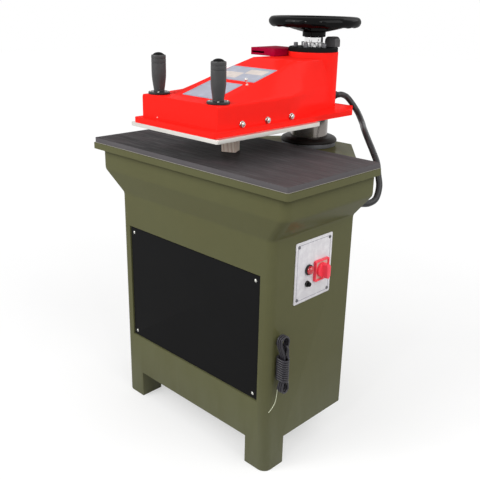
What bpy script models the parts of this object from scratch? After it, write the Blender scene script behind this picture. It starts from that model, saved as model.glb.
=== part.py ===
"""Swing arm cutting press: cabinet, cutting bed, column and swing arm.

The part's frame has +X to the machine's right, +Y to its rear and +Z up. Its origin is on
the floor, at the middle of the machine's outline in plan. Lengths are in metres.
"""
import math

import bmesh
import bpy
import numpy as np
from mathutils import Vector

# Clearances and cuts
SEAT_GAP = 0.0003
TURN_GAP = 0.0004
CUT_OVERRUN = 0.004
TOUCH_GAP = 0.001

# Cutting bed and the plate under it
BED_WIDTH = 0.810
BED_DEPTH = 0.398
BED_THICK = 0.0160
BED_CORNER = 0.006
TABLE_LIP = 0.0045
TABLE_THICK = 0.0188
TABLE_CORNER = 0.009

# Cabinet: flared band, taper and body
BAND_WIDTH = 0.781
BAND_HEIGHT = 0.0632
BAND_SETBACK = 0.013
TAPER_HEIGHT = 0.0717
BODY_WIDTH = 0.660
BODY_HEIGHT = 0.6354
BODY_SETBACK = 0.0387
FRONT_CORNER = 0.027
REAR_CORNER = 0.008
SHEET_WALL = 0.005
FRONT_WALL = 0.012
FLOOR_SHEET = 0.005
DECK_SHEET = 0.006
FOOT_HEIGHT = 0.0916
FOOT_WIDTH = 0.0833
FOOT_DEPTH = 0.0804

# Front access panel
PANEL_WIDTH = 0.578
PANEL_HEIGHT = 0.392
PANEL_BOTTOM = 0.228
PANEL_THICK = 0.003
PANEL_SIDE_GAP = 0.003
PANEL_LEDGE = 0.018
PANEL_LEDGE_THICK = 0.005
PANEL_SCREW_INSET = 0.016
SCREW_HEAD_RADIUS = 0.0060
SCREW_HEAD_HEIGHT = 0.0036
SCREW_SLOT_WIDTH = 0.0014
SCREW_SLOT_DEPTH = 0.0015

# Control plate on the right wall
CONTROL_FRONT = 0.0941
CONTROL_WIDTH = 0.1610
CONTROL_HEIGHT = 0.1830
CONTROL_BOTTOM = 0.5165
CONTROL_THICK = 0.0020
CONTROL_CORNER = 0.004
LAMP_FORWARD = 0.0575
LAMP_DROP = 0.0890
LAMP_BEZEL_RADIUS = 0.0155
LAMP_BEZEL_HEIGHT = 0.0065
LAMP_LENS_RADIUS = 0.0128
LAMP_LENS_HEIGHT = 0.0170
SWITCH_FORWARD = 0.1110
SWITCH_DROP = 0.1010
SWITCH_SIZE = 0.0620
SWITCH_RIM = 0.0040
SWITCH_DEPTH = 0.0090
SWITCH_CORNER = 0.004
SWITCH_RECESS = 0.0050
KNOB_RADIUS = 0.0220
KNOB_BASE_HEIGHT = 0.0090
KNOB_BAR_WIDTH = 0.0150
KNOB_BAR_HEIGHT = 0.0190
KNOB_BAR_ROUND = 0.0050
STOP_FORWARD = 0.0535
STOP_DROP = 0.1305
STOP_BEZEL_RADIUS = 0.0090
STOP_BEZEL_HEIGHT = 0.0060
STOP_BUTTON_RADIUS = 0.0065
STOP_BUTTON_LENGTH = 0.0090
STOP_TRAVEL = 0.0030

# Column, its housing and the cylinder inside
COLUMN_SETBACK = 0.578
COLUMN_RADIUS = 0.0615
COLUMN_TOP = 1.130
HOUSING_REAR = 0.112
HOUSING_FRONT_HALF = 0.341
HOUSING_REAR_HALF = 0.098
HOUSING_TOP_DEPTH = 0.050
HOUSING_TAPER = 0.150
FLARE_STEPS = 4
TOWER_HALF = 0.112
HOUSING_EDGE = 0.006
HOUSING_BORE = 0.0805
BORE_FLOOR = 0.100
BUSH_LENGTH = 0.160
BUSH_RIM_RADIUS = 0.0900
BUSH_RIM_HEIGHT = 0.0140
SEAL_RADIUS = 0.0945
SEAL_HEIGHT = 0.0185
SEAL_LIP_RADIUS = 0.0640
CYLINDER_WALL = 0.0085
CYLINDER_HEIGHT = 0.560
CYLINDER_BASE_THICK = 0.012
GLAND_THICK = 0.030
PISTON_THICK = 0.040
RAM_STROKE = 0.070

# Height sleeve round the column's head
SLEEVE_WALL = 0.0063
SLEEVE_TOP = 1.150
SLEEVE_CAP_THICK = 0.009

# Swing arm
ARM_UNDERSIDE = 0.9795
ARM_HALF = 0.1558
ARM_FRONT = 0.5755
FLANGE_THICK = 0.0158
FLANGE_FRONT_LIP = 0.0215
FLANGE_SIDE_LIP = 0.0106
FLANGE_REAR = 0.0865
FLANGE_REAR_HALF = 0.113
FLANGE_SIDE_END = 0.005
NOSE_DEPTH = 0.0700
NOSE_HEIGHT = 0.0805
SPINE_HALF = 0.098
SPINE_TOP = 1.150
SPINE_START = 0.193
SHOULDER_HEIGHT = 0.0805
ARM_WAIST_START = 0.285
ARM_EDGE = 0.005
BOSS_RADIUS = 0.0810
BOSS_TOP = 1.1650
CASTING_WALL = 0.012
RIB_THICK = 0.012
STRIKE_HALF = 0.1814
STRIKE_FRONT = 0.599
STRIKE_LENGTH = 0.4227
STRIKE_THICK = 0.0115
STRIKE_CORNER = 0.004
BOLT_FIRST = 0.485
BOLT_PITCH = 0.1015
BOLT_RISE = 0.0250
BOLT_WASHER_RADIUS = 0.0092
BOLT_WASHER_THICK = 0.0020
BOLT_HEAD_RADIUS = 0.0084
BOLT_HEAD_THICK = 0.0070

# Top flange, lock ring, switch and tray on the boss
TOP_FLANGE_RADIUS = 0.0795
TOP_FLANGE_THICK = 0.0140
TOP_FLANGE_EDGE = 0.003
TOP_SCREW_CIRCLE = 0.0570
TOP_SCREW_RADIUS = 0.0068
TOP_SCREW_HEIGHT = 0.0130
TOP_SCREW_START = math.radians(44)
LOCK_RING_RADIUS = 0.0345
LOCK_RING_BORE = 0.0220
LOCK_RING_HEIGHT = 0.0125
LOCK_NOTCH = 0.0080
LIMIT_WIDTH = 0.044
LIMIT_DEPTH = 0.030
LIMIT_HEIGHT = 0.032
LIMIT_ROUND = 0.010
LIMIT_RIGHT = 0.043
LIMIT_BACK = 0.045
TRAY_LEFT = 0.151
TRAY_WIDTH = 0.100
TRAY_FRONT = 0.130
TRAY_DEPTH = 0.120
TRAY_HEIGHT = 0.026
TRAY_WALL = 0.0025
TRAY_SLOT_WIDTH = 0.052
TRAY_SLOT_HEIGHT = 0.0060

# Hand grips with push buttons
GRIP_SPREAD = 0.122
GRIP_BACK = 0.038
GRIP_FLANGE_RADIUS = 0.0310
GRIP_FLANGE_THICK = 0.0100
GRIP_FOOT_RADIUS = 0.0138
GRIP_HEIGHT = 0.0960
GRIP_RADIUS = 0.0207
GRIP_TOP_RADIUS = 0.0195
GRIP_WELL_RADIUS = 0.0165
GRIP_WELL_DEPTH = 0.0140
BUTTON_RADIUS = 0.0160
BUTTON_LENGTH = 0.0160
BUTTON_DOME = 0.0080
BUTTON_TRAVEL = 0.0050

# Handwheel and its spindle
WHEEL_HEIGHT = 1.2565
WHEEL_RADIUS = 0.1465
WHEEL_RIM = 0.0150
WHEEL_WAVES = 20
WHEEL_WAVE_DEPTH = 0.0018
WHEEL_HUB_RADIUS = 0.0370
WHEEL_HUB_LENGTH = 0.0180
WHEEL_HUB_DROP = 0.0285
WHEEL_WEB_THICK = 0.0080
WHEEL_WINDOW_INNER = 0.054
WHEEL_WINDOW_OUTER = 0.108
WHEEL_WINDOW_DEGREES = 78
WHEEL_SPOKES = 3
SPINDLE_RADIUS = 0.0110
SPINDLE_REACH = 0.160
SPINDLE_BORE = 0.0120
SPINDLE_BORE_DEPTH = 0.120
COLLAR_RADIUS = 0.0300
COLLAR_HEIGHT = 0.0175

# Timber block between the bed and the strike plate
WOOD_RIGHT = 0.0224
WOOD_BACK = 0.1851
WOOD_WIDTH = 0.0435
WOOD_DEPTH = 0.0395
WOOD_TURN = math.radians(26)
WOOD_EDGE = 0.0012

# Pieces inside the cabinet
TANK_WIDTH = 0.250
TANK_HEIGHT = 0.210
TANK_SIDE_ROOM = 0.025
TANK_FRONT_ROOM = 0.0493
TANK_REAR_ROOM = 0.053
TANK_EDGE = 0.010
VALVE_SIZE = (0.070, 0.060, 0.080)
VALVE_EDGE = 0.004
MOTOR_RADIUS = 0.068
MOTOR_LENGTH = 0.190
MOTOR_FINS = 16
MOTOR_FIN_HEIGHT = 0.008
MOTOR_FOOT_WIDTH = 0.110
MOTOR_FOOT_DEPTH = 0.090
PUMP_SIZE = (0.055, 0.080, 0.090)
PUMP_EDGE = 0.006
PUMP_ROOM = 0.0097
PIPE_RADIUS = 0.006
PRESSURE_PIPE_RISE = 0.230
RETURN_PIPE_RISE = 0.150
PIPE_SPREAD = 0.036
CONTACTOR_SIZE = (0.075, 0.150, 0.150)
CONTACTOR_EDGE = 0.004

# Control hose between the arm and the cabinet
HOSE_RADIUS = 0.0098
HOSE_ARM_ANGLE = math.radians(63)
HOSE_ARM_RISE = 0.0438
HOSE_GLAND_RADIUS = 0.0150
HOSE_GLAND_LENGTH = 0.0140
HOSE_ENTRY_X = 0.3252
HOSE_ENTRY_Z = 0.7519
HOSE_SAMPLES = 42
HOSE_ROUTE = (
    (0.0640, 0.6995, 1.0110),
    (0.0945, 0.7130, 0.9700),
    (0.1370, 0.6860, 0.9390),
    (0.1669, 0.6500, 0.9340),
    (0.1975, 0.6160, 0.9270),
    (0.2321, 0.5890, 0.9060),
    (0.2622, 0.5730, 0.8785),
    (0.2925, 0.5534, 0.8517),
    (0.3129, 0.5335, 0.8233),
    (0.3309, 0.5171, 0.7914),
    (0.3405, 0.4897, 0.7610),
    (0.3350, 0.4617, 0.7500),
)

# Spare cord, looped and wrapped, on the right wall
CORD_RADIUS = 0.0031
CORD_PITCH = 0.0068
HANK_FORWARD = 0.0363
HANK_LOOPS = 3
HANK_TOP = 0.4495
HANK_TOP_ROUND = 0.0155
HANK_BOTTOM = 0.2775
HANK_BOTTOM_ROUND = 0.0125
HANK_WAIST_TOP = 0.3850
HANK_WAIST_HALF = 0.0035
HANK_WRAPS = 10
WRAP_PITCH = 0.0070
WRAP_ROUND = 0.0113
WRAP_FLAT = 0.0060
WRAP_OFF_WALL = 0.0037
WRAP_LEAD_ROUND = 0.0090
CORD_EXIT_HEIGHT = 0.4240
CORD_EXIT_ROUND = 0.0100
CORD_END_FORWARD = -0.0078
CORD_END_HEIGHT = 0.2825
CORD_END_LEAN = math.radians(18)
LOOP_POINTS = 24
GROMMET_RADIUS = 0.0080
GROMMET_HEIGHT = 0.0030
EARTH_WIRE_RADIUS = 0.0010
EARTH_WIRE_ROUTE = ((0.0114, 0.0658, 0.2620), (0.0100, 0.0630, 0.2420),
                    (0.0078, 0.0540, 0.2255), (0.0050, 0.0410, 0.2127))

# Heights and places that follow from the sizes above
BODY_TOP = FOOT_HEIGHT + BODY_HEIGHT
TAPER_TOP = BODY_TOP + TAPER_HEIGHT
BAND_TOP = TAPER_TOP + BAND_HEIGHT
TABLE_TOP = BAND_TOP + TABLE_THICK
BED_TOP = TABLE_TOP + BED_THICK
COLUMN_Y = (STRIKE_FRONT - WHEEL_RADIUS) / 2
BED_FRONT_Y = COLUMN_Y - COLUMN_SETBACK
STRIKE_BOTTOM = ARM_UNDERSIDE - STRIKE_THICK
FLANGE_TOP = ARM_UNDERSIDE + FLANGE_THICK
NOSE_TOP = ARM_UNDERSIDE + NOSE_HEIGHT
CAP_TOP = BOSS_TOP + TOP_FLANGE_THICK
HANK_WAIST_BOTTOM = HANK_WAIST_TOP - WRAP_PITCH * HANK_WRAPS
WRAP_LENGTH = WRAP_FLAT * 4 + WRAP_ROUND * math.tau


def clear_scene():
    for item in list(bpy.data.objects):
        bpy.data.objects.remove(item, do_unlink=True)


def new_collection(name):
    collection = bpy.data.collections.new(name)
    bpy.context.scene.collection.children.link(collection)
    return collection


clear_scene()
PARTS = new_collection("swing_arm_cutting_press")
CUTTERS = new_collection("cutters")


def material(name, colour, roughness, metallic=0.0):
    made = bpy.data.materials.new(name)
    made.use_nodes = True
    shader = made.node_tree.nodes["Principled BSDF"]
    shader.inputs["Base Color"].default_value = (*colour, 1.0)
    shader.inputs["Roughness"].default_value = roughness
    shader.inputs["Metallic"].default_value = metallic
    made.diffuse_color = (*colour, 1.0)
    return made


GREEN = material("green_enamel", (0.105, 0.110, 0.058), 0.45)
RED = material("red_enamel", (0.80, 0.012, 0.010), 0.32)
CRIMSON = material("crimson_enamel", (0.42, 0.008, 0.035), 0.40)
BED_STEEL = material("blackened_steel", (0.035, 0.032, 0.036), 0.45, 0.6)
CHROME = material("chrome", (0.72, 0.72, 0.72), 0.12, 1.0)
STEEL = material("bright_steel", (0.55, 0.55, 0.55), 0.28, 1.0)
IRON = material("cast_iron", (0.10, 0.10, 0.11), 0.55, 0.5)
ALUMINIUM = material("pale_aluminium", (0.70, 0.69, 0.66), 0.40, 0.6)
BLACK = material("black_plastic", (0.015, 0.015, 0.016), 0.35)
RUBBER = material("black_rubber", (0.012, 0.012, 0.012), 0.70)
BLACK_PAINT = material("black_enamel", (0.010, 0.010, 0.011), 0.38)
GREY = material("grey_plastic", (0.07, 0.07, 0.075), 0.50)
WHITE = material("white_plate", (0.74, 0.73, 0.74), 0.45)
LAMP_RED = material("lamp_red", (0.70, 0.004, 0.012), 0.15)
SWITCH_RED = material("switch_red", (0.75, 0.020, 0.030), 0.35)
TIMBER = material("timber", (0.45, 0.30, 0.22), 0.75)
CORD_BLACK = material("cord_black", (0.020, 0.020, 0.024), 0.50)
WIRE_PALE = material("wire_pale", (0.55, 0.56, 0.42), 0.50)
MOTOR_BLUE = material("motor_grey", (0.16, 0.18, 0.20), 0.50, 0.3)


def anchor(name, x, y, z, parent=None):
    empty = bpy.data.objects.new(name, None)
    PARTS.objects.link(empty)
    empty.location = (x, y, z)
    empty.parent = parent
    return empty


MACHINE = anchor("machine", 0, 0, 0)
FRONT = anchor("bed_front_datum", 0, BED_FRONT_Y, 0, MACHINE)
AXIS = anchor("column_axis", 0, COLUMN_Y, 0, MACHINE)


def link(item, parent, place, turn, finish):
    """Puts an object in its collection, under its parent and at its place."""
    (CUTTERS if finish is None else PARTS).objects.link(item)
    item.parent = parent
    item.location = place
    item.rotation_euler = turn
    if finish is None:
        item.hide_render = True
        item.display_type = "WIRE"
    else:
        item.data.materials.clear()
        item.data.materials.append(finish)
    return item


def smooth(mesh):
    mesh.shade_smooth()
    mesh.set_sharp_from_angle(angle=math.radians(35))


def from_bmesh(name, shape, parent, place, turn, finish):
    mesh = bpy.data.meshes.new(name)
    shape.to_mesh(mesh)
    shape.free()
    smooth(mesh)
    return link(bpy.data.objects.new(name, mesh), parent, place, turn, finish)


def bevel(item, width, segments=2):
    edge = item.modifiers.new("rounded_edges", "BEVEL")
    edge.width = width
    edge.segments = segments
    edge.limit_method = "ANGLE"
    edge.angle_limit = math.radians(30)
    return item


def block(name, size, parent, place, finish=None, turn=(0, 0, 0), edge=0, segments=2):
    """A box of the given size round its place, with its edges rounded over."""
    shape = bmesh.new()
    bmesh.ops.create_cube(shape, size=1)
    bmesh.ops.scale(shape, vec=size, verts=shape.verts)
    item = from_bmesh(name, shape, parent, place, turn, finish)
    return bevel(item, edge, segments) if edge else item


def span(name, low, high, parent, finish=None, edge=0, segments=2):
    """A box between two corners."""
    size = tuple(b - a for a, b in zip(low, high))
    place = tuple((a + b) / 2 for a, b in zip(low, high))
    return block(name, size, parent, place, finish, edge=edge, segments=segments)


def drum(name, radius, low, high, parent, centre, finish=None, turn=(0, 0, 0), segments=32):
    """A cylinder along its own Z, from low to high above its centre."""
    shape = bmesh.new()
    bmesh.ops.create_cone(shape, cap_ends=True, segments=segments, radius1=radius,
                          radius2=radius, depth=high - low)
    bmesh.ops.translate(shape, vec=(0, 0, (low + high) / 2), verts=shape.verts)
    return from_bmesh(name, shape, parent, centre, turn, finish)


def turned(name, profile, parent, place, finish, turn=(0, 0, 0), steps=32, ring=False):
    """A turned piece from its outer side's profile, (radius, height), top to bottom."""
    shape = bmesh.new()
    points = [shape.verts.new((radius, 0, height)) for radius, height in profile]
    for first, second in zip(points, points[1:]):
        shape.edges.new((first, second))
    if ring:
        shape.edges.new((points[-1], points[0]))
    mesh = bpy.data.meshes.new(name)
    shape.to_mesh(mesh)
    shape.free()
    item = link(bpy.data.objects.new(name, mesh), parent, place, turn, finish)
    screw = item.modifiers.new("turned", "SCREW")
    screw.steps = steps
    screw.render_steps = steps
    screw.use_merge_vertices = True
    screw.merge_threshold = 0.00001
    screw.use_smooth_shade = True
    return item


def as_mesh(item):
    """Replaces an object's data by its evaluated mesh, with loose caps welded."""
    bpy.context.view_layer.update()
    graph = bpy.context.evaluated_depsgraph_get()
    mesh = bpy.data.meshes.new_from_object(item.evaluated_get(graph))
    shape = bmesh.new()
    shape.from_mesh(mesh)
    bmesh.ops.remove_doubles(shape, verts=shape.verts, dist=0.00001)
    bmesh.ops.recalc_face_normals(shape, faces=shape.faces)
    shape.to_mesh(mesh)
    shape.free()
    return mesh


def remade(item, finish):
    """Turns a curve or a modified object into a plain mesh object of the same name."""
    mesh = as_mesh(item)
    name, parent = item.name, item.parent
    place, turn = item.location.copy(), item.rotation_euler.copy()
    bpy.data.objects.remove(item, do_unlink=True)
    mesh.name = name
    smooth(mesh)
    return link(bpy.data.objects.new(name, mesh), parent, place, turn, finish)


def outline_curve(name, outlines, thick):
    data = bpy.data.curves.new(name, "CURVE")
    data.dimensions = "2D"
    data.fill_mode = "BOTH"
    data.extrude = thick / 2
    for outline in outlines:
        spline = data.splines.new("POLY")
        spline.points.add(len(outline) - 1)
        for point, (x, y) in zip(spline.points, outline):
            point.co = (x, y, 0, 1)
        spline.use_cyclic_u = True
    return bpy.data.objects.new(name, data)


def plate(name, outlines, thick, parent, place, finish=None, turn=(0, 0, 0)):
    """A flat plate from its outline and the outlines of its holes, thick round its place."""
    item = outline_curve(name, outlines, thick)
    link(item, parent, place, turn, None)
    return remade(item, finish)


def tube(name, points, radius, parent, finish, sides=2):
    """A wire or hose along the given points."""
    data = bpy.data.curves.new(name, "CURVE")
    data.dimensions = "3D"
    data.bevel_depth = radius
    data.bevel_resolution = sides
    data.use_fill_caps = True
    spline = data.splines.new("POLY")
    spline.points.add(len(points) - 1)
    for point, place in zip(spline.points, points):
        point.co = (*place, 1)
    return link(bpy.data.objects.new(name, data), parent, (0, 0, 0), (0, 0, 0), finish)


def loft(name, rings, parent, finish=None, edge=0, segments=2):
    """A closed skin through rings of equal point counts, with a flat cap on each end."""
    shape = bmesh.new()
    loops = [[shape.verts.new(point) for point in ring] for ring in rings]
    for lower, upper in zip(loops, loops[1:]):
        for index in range(len(lower)):
            after = (index + 1) % len(lower)
            shape.faces.new((lower[index], lower[after], upper[after], upper[index]))
    shape.faces.new(list(reversed(loops[0])))
    shape.faces.new(loops[-1])
    bmesh.ops.recalc_face_normals(shape, faces=shape.faces)
    item = from_bmesh(name, shape, parent, (0, 0, 0), (0, 0, 0), finish)
    return bevel(item, edge, segments) if edge else item


def combine(item, other, operation):
    change = item.modifiers.new(operation.lower() + "_" + other.name, "BOOLEAN")
    change.operation = operation
    change.object = other
    change.solver = "EXACT"
    return item


def cut(item, *others):
    for other in others:
        combine(item, other, "DIFFERENCE")
    return item


def fuse(item, *others):
    for other in others:
        combine(item, other, "UNION")
    return item


def copies(item, parent, places, turn=(0, 0, 0)):
    """Makes one object for each named place, all with the first object's finished mesh."""
    finish = item.data.materials[0]
    mesh = as_mesh(item)
    smooth(mesh)
    bpy.data.objects.remove(item, do_unlink=True)
    return [link(bpy.data.objects.new(name, mesh), parent, place, turn, finish)
            for name, place in places]


def arc(centre, radius, start, end, steps):
    """Points on an arc, in degrees, both ends included."""
    angles = [math.radians(start + (end - start) * step / steps) for step in range(steps + 1)]
    return [(centre[0] + radius * math.cos(a), centre[1] + radius * math.sin(a)) for a in angles]


def rounded(left, right, front, back, front_round, back_round, steps=4):
    """A rectangle in plan with one radius at its front corners and one at its rear."""
    return (arc((right - front_round, front + front_round), front_round, -90, 0, steps)
            + arc((right - back_round, back - back_round), back_round, 0, 90, steps)
            + arc((left + back_round, back - back_round), back_round, 90, 180, steps)
            + arc((left + front_round, front + front_round), front_round, 180, 270, steps))


def circle(radius, count=32, centre=(0, 0)):
    return [(centre[0] + radius * math.cos(math.tau * step / count),
             centre[1] + radius * math.sin(math.tau * step / count)) for step in range(count)]


def at_height(outline, height):
    return [(x, y, height) for x, y in outline]


FACE_RIGHT = (0, math.radians(90), 0)
FACE_LEFT = (0, math.radians(-90), 0)
FACE_FRONT = (math.radians(90), 0, 0)


def make_table():
    lip = TABLE_LIP
    plate("table_plate",
          [rounded(-BED_WIDTH / 2 - lip, BED_WIDTH / 2 + lip, -lip, BED_DEPTH,
                   TABLE_CORNER, BED_CORNER)],
          TABLE_THICK - SEAT_GAP, FRONT, (0, 0, BAND_TOP + (TABLE_THICK + SEAT_GAP) / 2), GREEN)
    plate("cutting_bed",
          [rounded(-BED_WIDTH / 2, BED_WIDTH / 2, 0, BED_DEPTH, BED_CORNER, BED_CORNER)],
          BED_THICK - SEAT_GAP, FRONT, (0, 0, TABLE_TOP + (BED_THICK + SEAT_GAP) / 2), BED_STEEL)
    height = STRIKE_BOTTOM - BED_TOP - SEAT_GAP * 2
    block("wood_block", (WOOD_WIDTH, WOOD_DEPTH, height), FRONT,
          (WOOD_RIGHT, WOOD_BACK, (BED_TOP + STRIKE_BOTTOM) / 2), TIMBER, (0, 0, WOOD_TURN),
          edge=WOOD_EDGE, segments=1)


def cabinet_ring(width, front, height, wall=0.0, front_wall=0.0):
    """One level of the cabinet's outline, drawn in by its walls."""
    half = width / 2 - wall
    return at_height(rounded(-half, half, front + front_wall, BED_DEPTH - wall,
                             FRONT_CORNER - wall, REAR_CORNER - wall), height)


def make_cabinet():
    body = loft("cabinet_body", [
        cabinet_ring(BODY_WIDTH, BODY_SETBACK, 0),
        cabinet_ring(BODY_WIDTH, BODY_SETBACK, BODY_TOP),
        cabinet_ring(BAND_WIDTH, BAND_SETBACK, TAPER_TOP),
        cabinet_ring(BAND_WIDTH, BAND_SETBACK, BAND_TOP)], FRONT, GREEN)
    wall, front = SHEET_WALL, FRONT_WALL
    hollow = loft("cabinet_hollow", [
        cabinet_ring(BODY_WIDTH, BODY_SETBACK, FOOT_HEIGHT + FLOOR_SHEET, wall, front),
        cabinet_ring(BODY_WIDTH, BODY_SETBACK, BODY_TOP, wall, front),
        cabinet_ring(BAND_WIDTH, BAND_SETBACK, TAPER_TOP, wall, front),
        cabinet_ring(BAND_WIDTH, BAND_SETBACK, BAND_TOP - DECK_SHEET, wall, front)], FRONT)
    reach = CUT_OVERRUN
    foot_inner = BODY_WIDTH / 2 - FOOT_WIDTH
    between = span("between_feet", (-foot_inner, BODY_SETBACK - reach, -reach),
                   (foot_inner, BED_DEPTH + reach, FOOT_HEIGHT), FRONT)
    behind = span("behind_feet", (-BODY_WIDTH / 2 - reach, BODY_SETBACK + FOOT_DEPTH, -reach),
                  (BODY_WIDTH / 2 + reach, BED_DEPTH + reach, FOOT_HEIGHT), FRONT)
    rebate_back = BODY_SETBACK + FRONT_WALL - PANEL_LEDGE_THICK
    rebate = span("panel_rebate", (-PANEL_WIDTH / 2, BODY_SETBACK - reach, PANEL_BOTTOM),
                  (PANEL_WIDTH / 2, rebate_back, PANEL_BOTTOM + PANEL_HEIGHT), FRONT)
    ledge = PANEL_LEDGE
    opening = span("panel_opening",
                   (-PANEL_WIDTH / 2 + ledge, rebate_back - reach, PANEL_BOTTOM + ledge),
                   (PANEL_WIDTH / 2 - ledge, BODY_SETBACK + FRONT_WALL + reach,
                    PANEL_BOTTOM + PANEL_HEIGHT - ledge), FRONT)
    cut(body, hollow, between, behind, rebate, opening)
    for name, height in (("pressure_pipe_hole", PRESSURE_PIPE_Z), ("return_pipe_hole", RETURN_PIPE_Z)):
        hole = drum(name, PIPE_RADIUS + TOUCH_GAP, -reach, SHEET_WALL + reach, FRONT,
                    (PIPE_EXIT_X[name], BED_DEPTH, height), turn=FACE_FRONT, segments=16)
        cut(body, hole)


def make_front_panel():
    side = PANEL_SIDE_GAP
    back = BODY_SETBACK + FRONT_WALL - PANEL_LEDGE_THICK - SEAT_GAP
    low = (-PANEL_WIDTH / 2 + side, back - PANEL_THICK, PANEL_BOTTOM + side)
    high = (PANEL_WIDTH / 2 - side, back, PANEL_BOTTOM + PANEL_HEIGHT - side)
    span("front_panel", low, high, FRONT, BLACK_PAINT, edge=PANEL_THICK / 3, segments=1)
    inset = PANEL_SCREW_INSET
    head = slotted_head("panel_screw", SCREW_HEAD_RADIUS, SCREW_HEAD_HEIGHT)
    places = []
    for row, z in (("lower", low[2] + inset), ("upper", high[2] - inset)):
        for side_name, x in (("left", low[0] + inset), ("right", high[0] - inset)):
            name = "panel_screw_" + row + "_" + side_name
            places.append((name, (x, low[1] - SEAT_GAP, z)))
    copies(head, FRONT, places, FACE_FRONT)


def slotted_head(name, radius, height):
    """A domed screw head with its slot, standing on its seat."""
    head = turned(name, [(0, height), (radius * 0.55, height * 0.94), (radius * 0.9, height * 0.6),
                         (radius, height * 0.2), (radius, 0), (0, 0)],
                  AXIS, (0, 0, 0), BLACK_PAINT, steps=12)
    slot = block(name + "_slot", (radius * 3, SCREW_SLOT_WIDTH, SCREW_SLOT_DEPTH * 2), AXIS,
                 (0, 0, height))
    return cut(head, slot)


def control_place(forward, drop, out):
    """A place on the control plate: back from its front edge, down from its top, out from it."""
    return (BODY_WIDTH / 2 + SEAT_GAP + CONTROL_THICK + out,
            BODY_SETBACK + CONTROL_FRONT + forward,
            CONTROL_BOTTOM + CONTROL_HEIGHT - drop)


def make_controls():
    half_high, half_wide = CONTROL_HEIGHT / 2, CONTROL_WIDTH / 2
    centre = control_place(half_wide, half_high, -CONTROL_THICK / 2)
    plate("control_plate", [rounded(-half_high, half_high, -half_wide, half_wide,
                                    CONTROL_CORNER, CONTROL_CORNER, 3)],
          CONTROL_THICK, FRONT, centre, WHITE, FACE_RIGHT)
    lamp = control_place(LAMP_FORWARD, LAMP_DROP, SEAT_GAP)
    rim, lens = LAMP_BEZEL_RADIUS, LAMP_LENS_RADIUS
    bore = lens + SEAT_GAP
    turned("lamp_bezel", [(bore, LAMP_BEZEL_HEIGHT), (rim * 0.94, LAMP_BEZEL_HEIGHT),
                          (rim, LAMP_BEZEL_HEIGHT * 0.7), (rim, 0), (bore, 0)],
           FRONT, lamp, BLACK, FACE_RIGHT, steps=24, ring=True)
    top = LAMP_LENS_HEIGHT
    dome = [(lens * math.sin(math.radians(a)), top - lens * 0.8 * (1 - math.cos(math.radians(a))))
            for a in (0, 22, 45, 67, 90)]
    turned("lamp_lens", dome + [(lens, 0), (0, 0)], FRONT, lamp, LAMP_RED, FACE_RIGHT, steps=24)
    half = SWITCH_SIZE / 2
    inner = half - SWITCH_RIM
    base = control_place(SWITCH_FORWARD, SWITCH_DROP, SEAT_GAP)
    middle = (base[0] + SWITCH_DEPTH / 2, base[1], base[2])
    frame = plate("switch_frame",
                  [rounded(-half, half, -half, half, SWITCH_CORNER, SWITCH_CORNER, 3)],
                  SWITCH_DEPTH, FRONT, middle, SWITCH_RED, FACE_RIGHT)
    recess = block("switch_recess", (inner * 2, inner * 2, SWITCH_RECESS * 2), FRONT,
                   (base[0] + SWITCH_DEPTH, base[1], base[2]), turn=FACE_RIGHT)
    cut(frame, recess)
    shaft = anchor("switch_axis", base[0] + SWITCH_DEPTH - SWITCH_RECESS + SEAT_GAP, base[1],
                   base[2], FRONT)
    knob = turned("switch_knob", [(0, KNOB_BASE_HEIGHT), (KNOB_RADIUS * 0.92, KNOB_BASE_HEIGHT),
                                  (KNOB_RADIUS, KNOB_BASE_HEIGHT * 0.8), (KNOB_RADIUS, 0), (0, 0)],
                  shaft, (0, 0, 0), SWITCH_RED, FACE_RIGHT, steps=28)
    bar_top = KNOB_BASE_HEIGHT + KNOB_BAR_HEIGHT
    bar = block("knob_bar", (KNOB_RADIUS * 2, KNOB_BAR_WIDTH, bar_top - TOUCH_GAP), shaft,
                ((bar_top + TOUCH_GAP) / 2, 0, 0), turn=FACE_RIGHT, edge=KNOB_BAR_ROUND)
    fuse(knob, bar)
    stop = control_place(STOP_FORWARD, STOP_DROP, SEAT_GAP)
    bore = STOP_BUTTON_RADIUS + TURN_GAP
    turned("stop_bezel", [(bore, STOP_BEZEL_HEIGHT), (STOP_BEZEL_RADIUS * 0.9, STOP_BEZEL_HEIGHT),
                          (STOP_BEZEL_RADIUS, STOP_BEZEL_HEIGHT * 0.7), (STOP_BEZEL_RADIUS, 0),
                          (bore, 0)], FRONT, stop, BLACK, FACE_RIGHT, steps=20, ring=True)
    plunger = anchor("stop_axis", stop[0] + STOP_TRAVEL + SEAT_GAP, stop[1], stop[2], FRONT)
    radius, length = STOP_BUTTON_RADIUS, STOP_BUTTON_LENGTH
    turned("stop_button", [(0, length), (radius * 0.8, length), (radius, length * 0.85),
                           (radius, 0), (0, 0)], plunger, (0, 0, 0), BLACK, FACE_RIGHT, steps=20)


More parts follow.
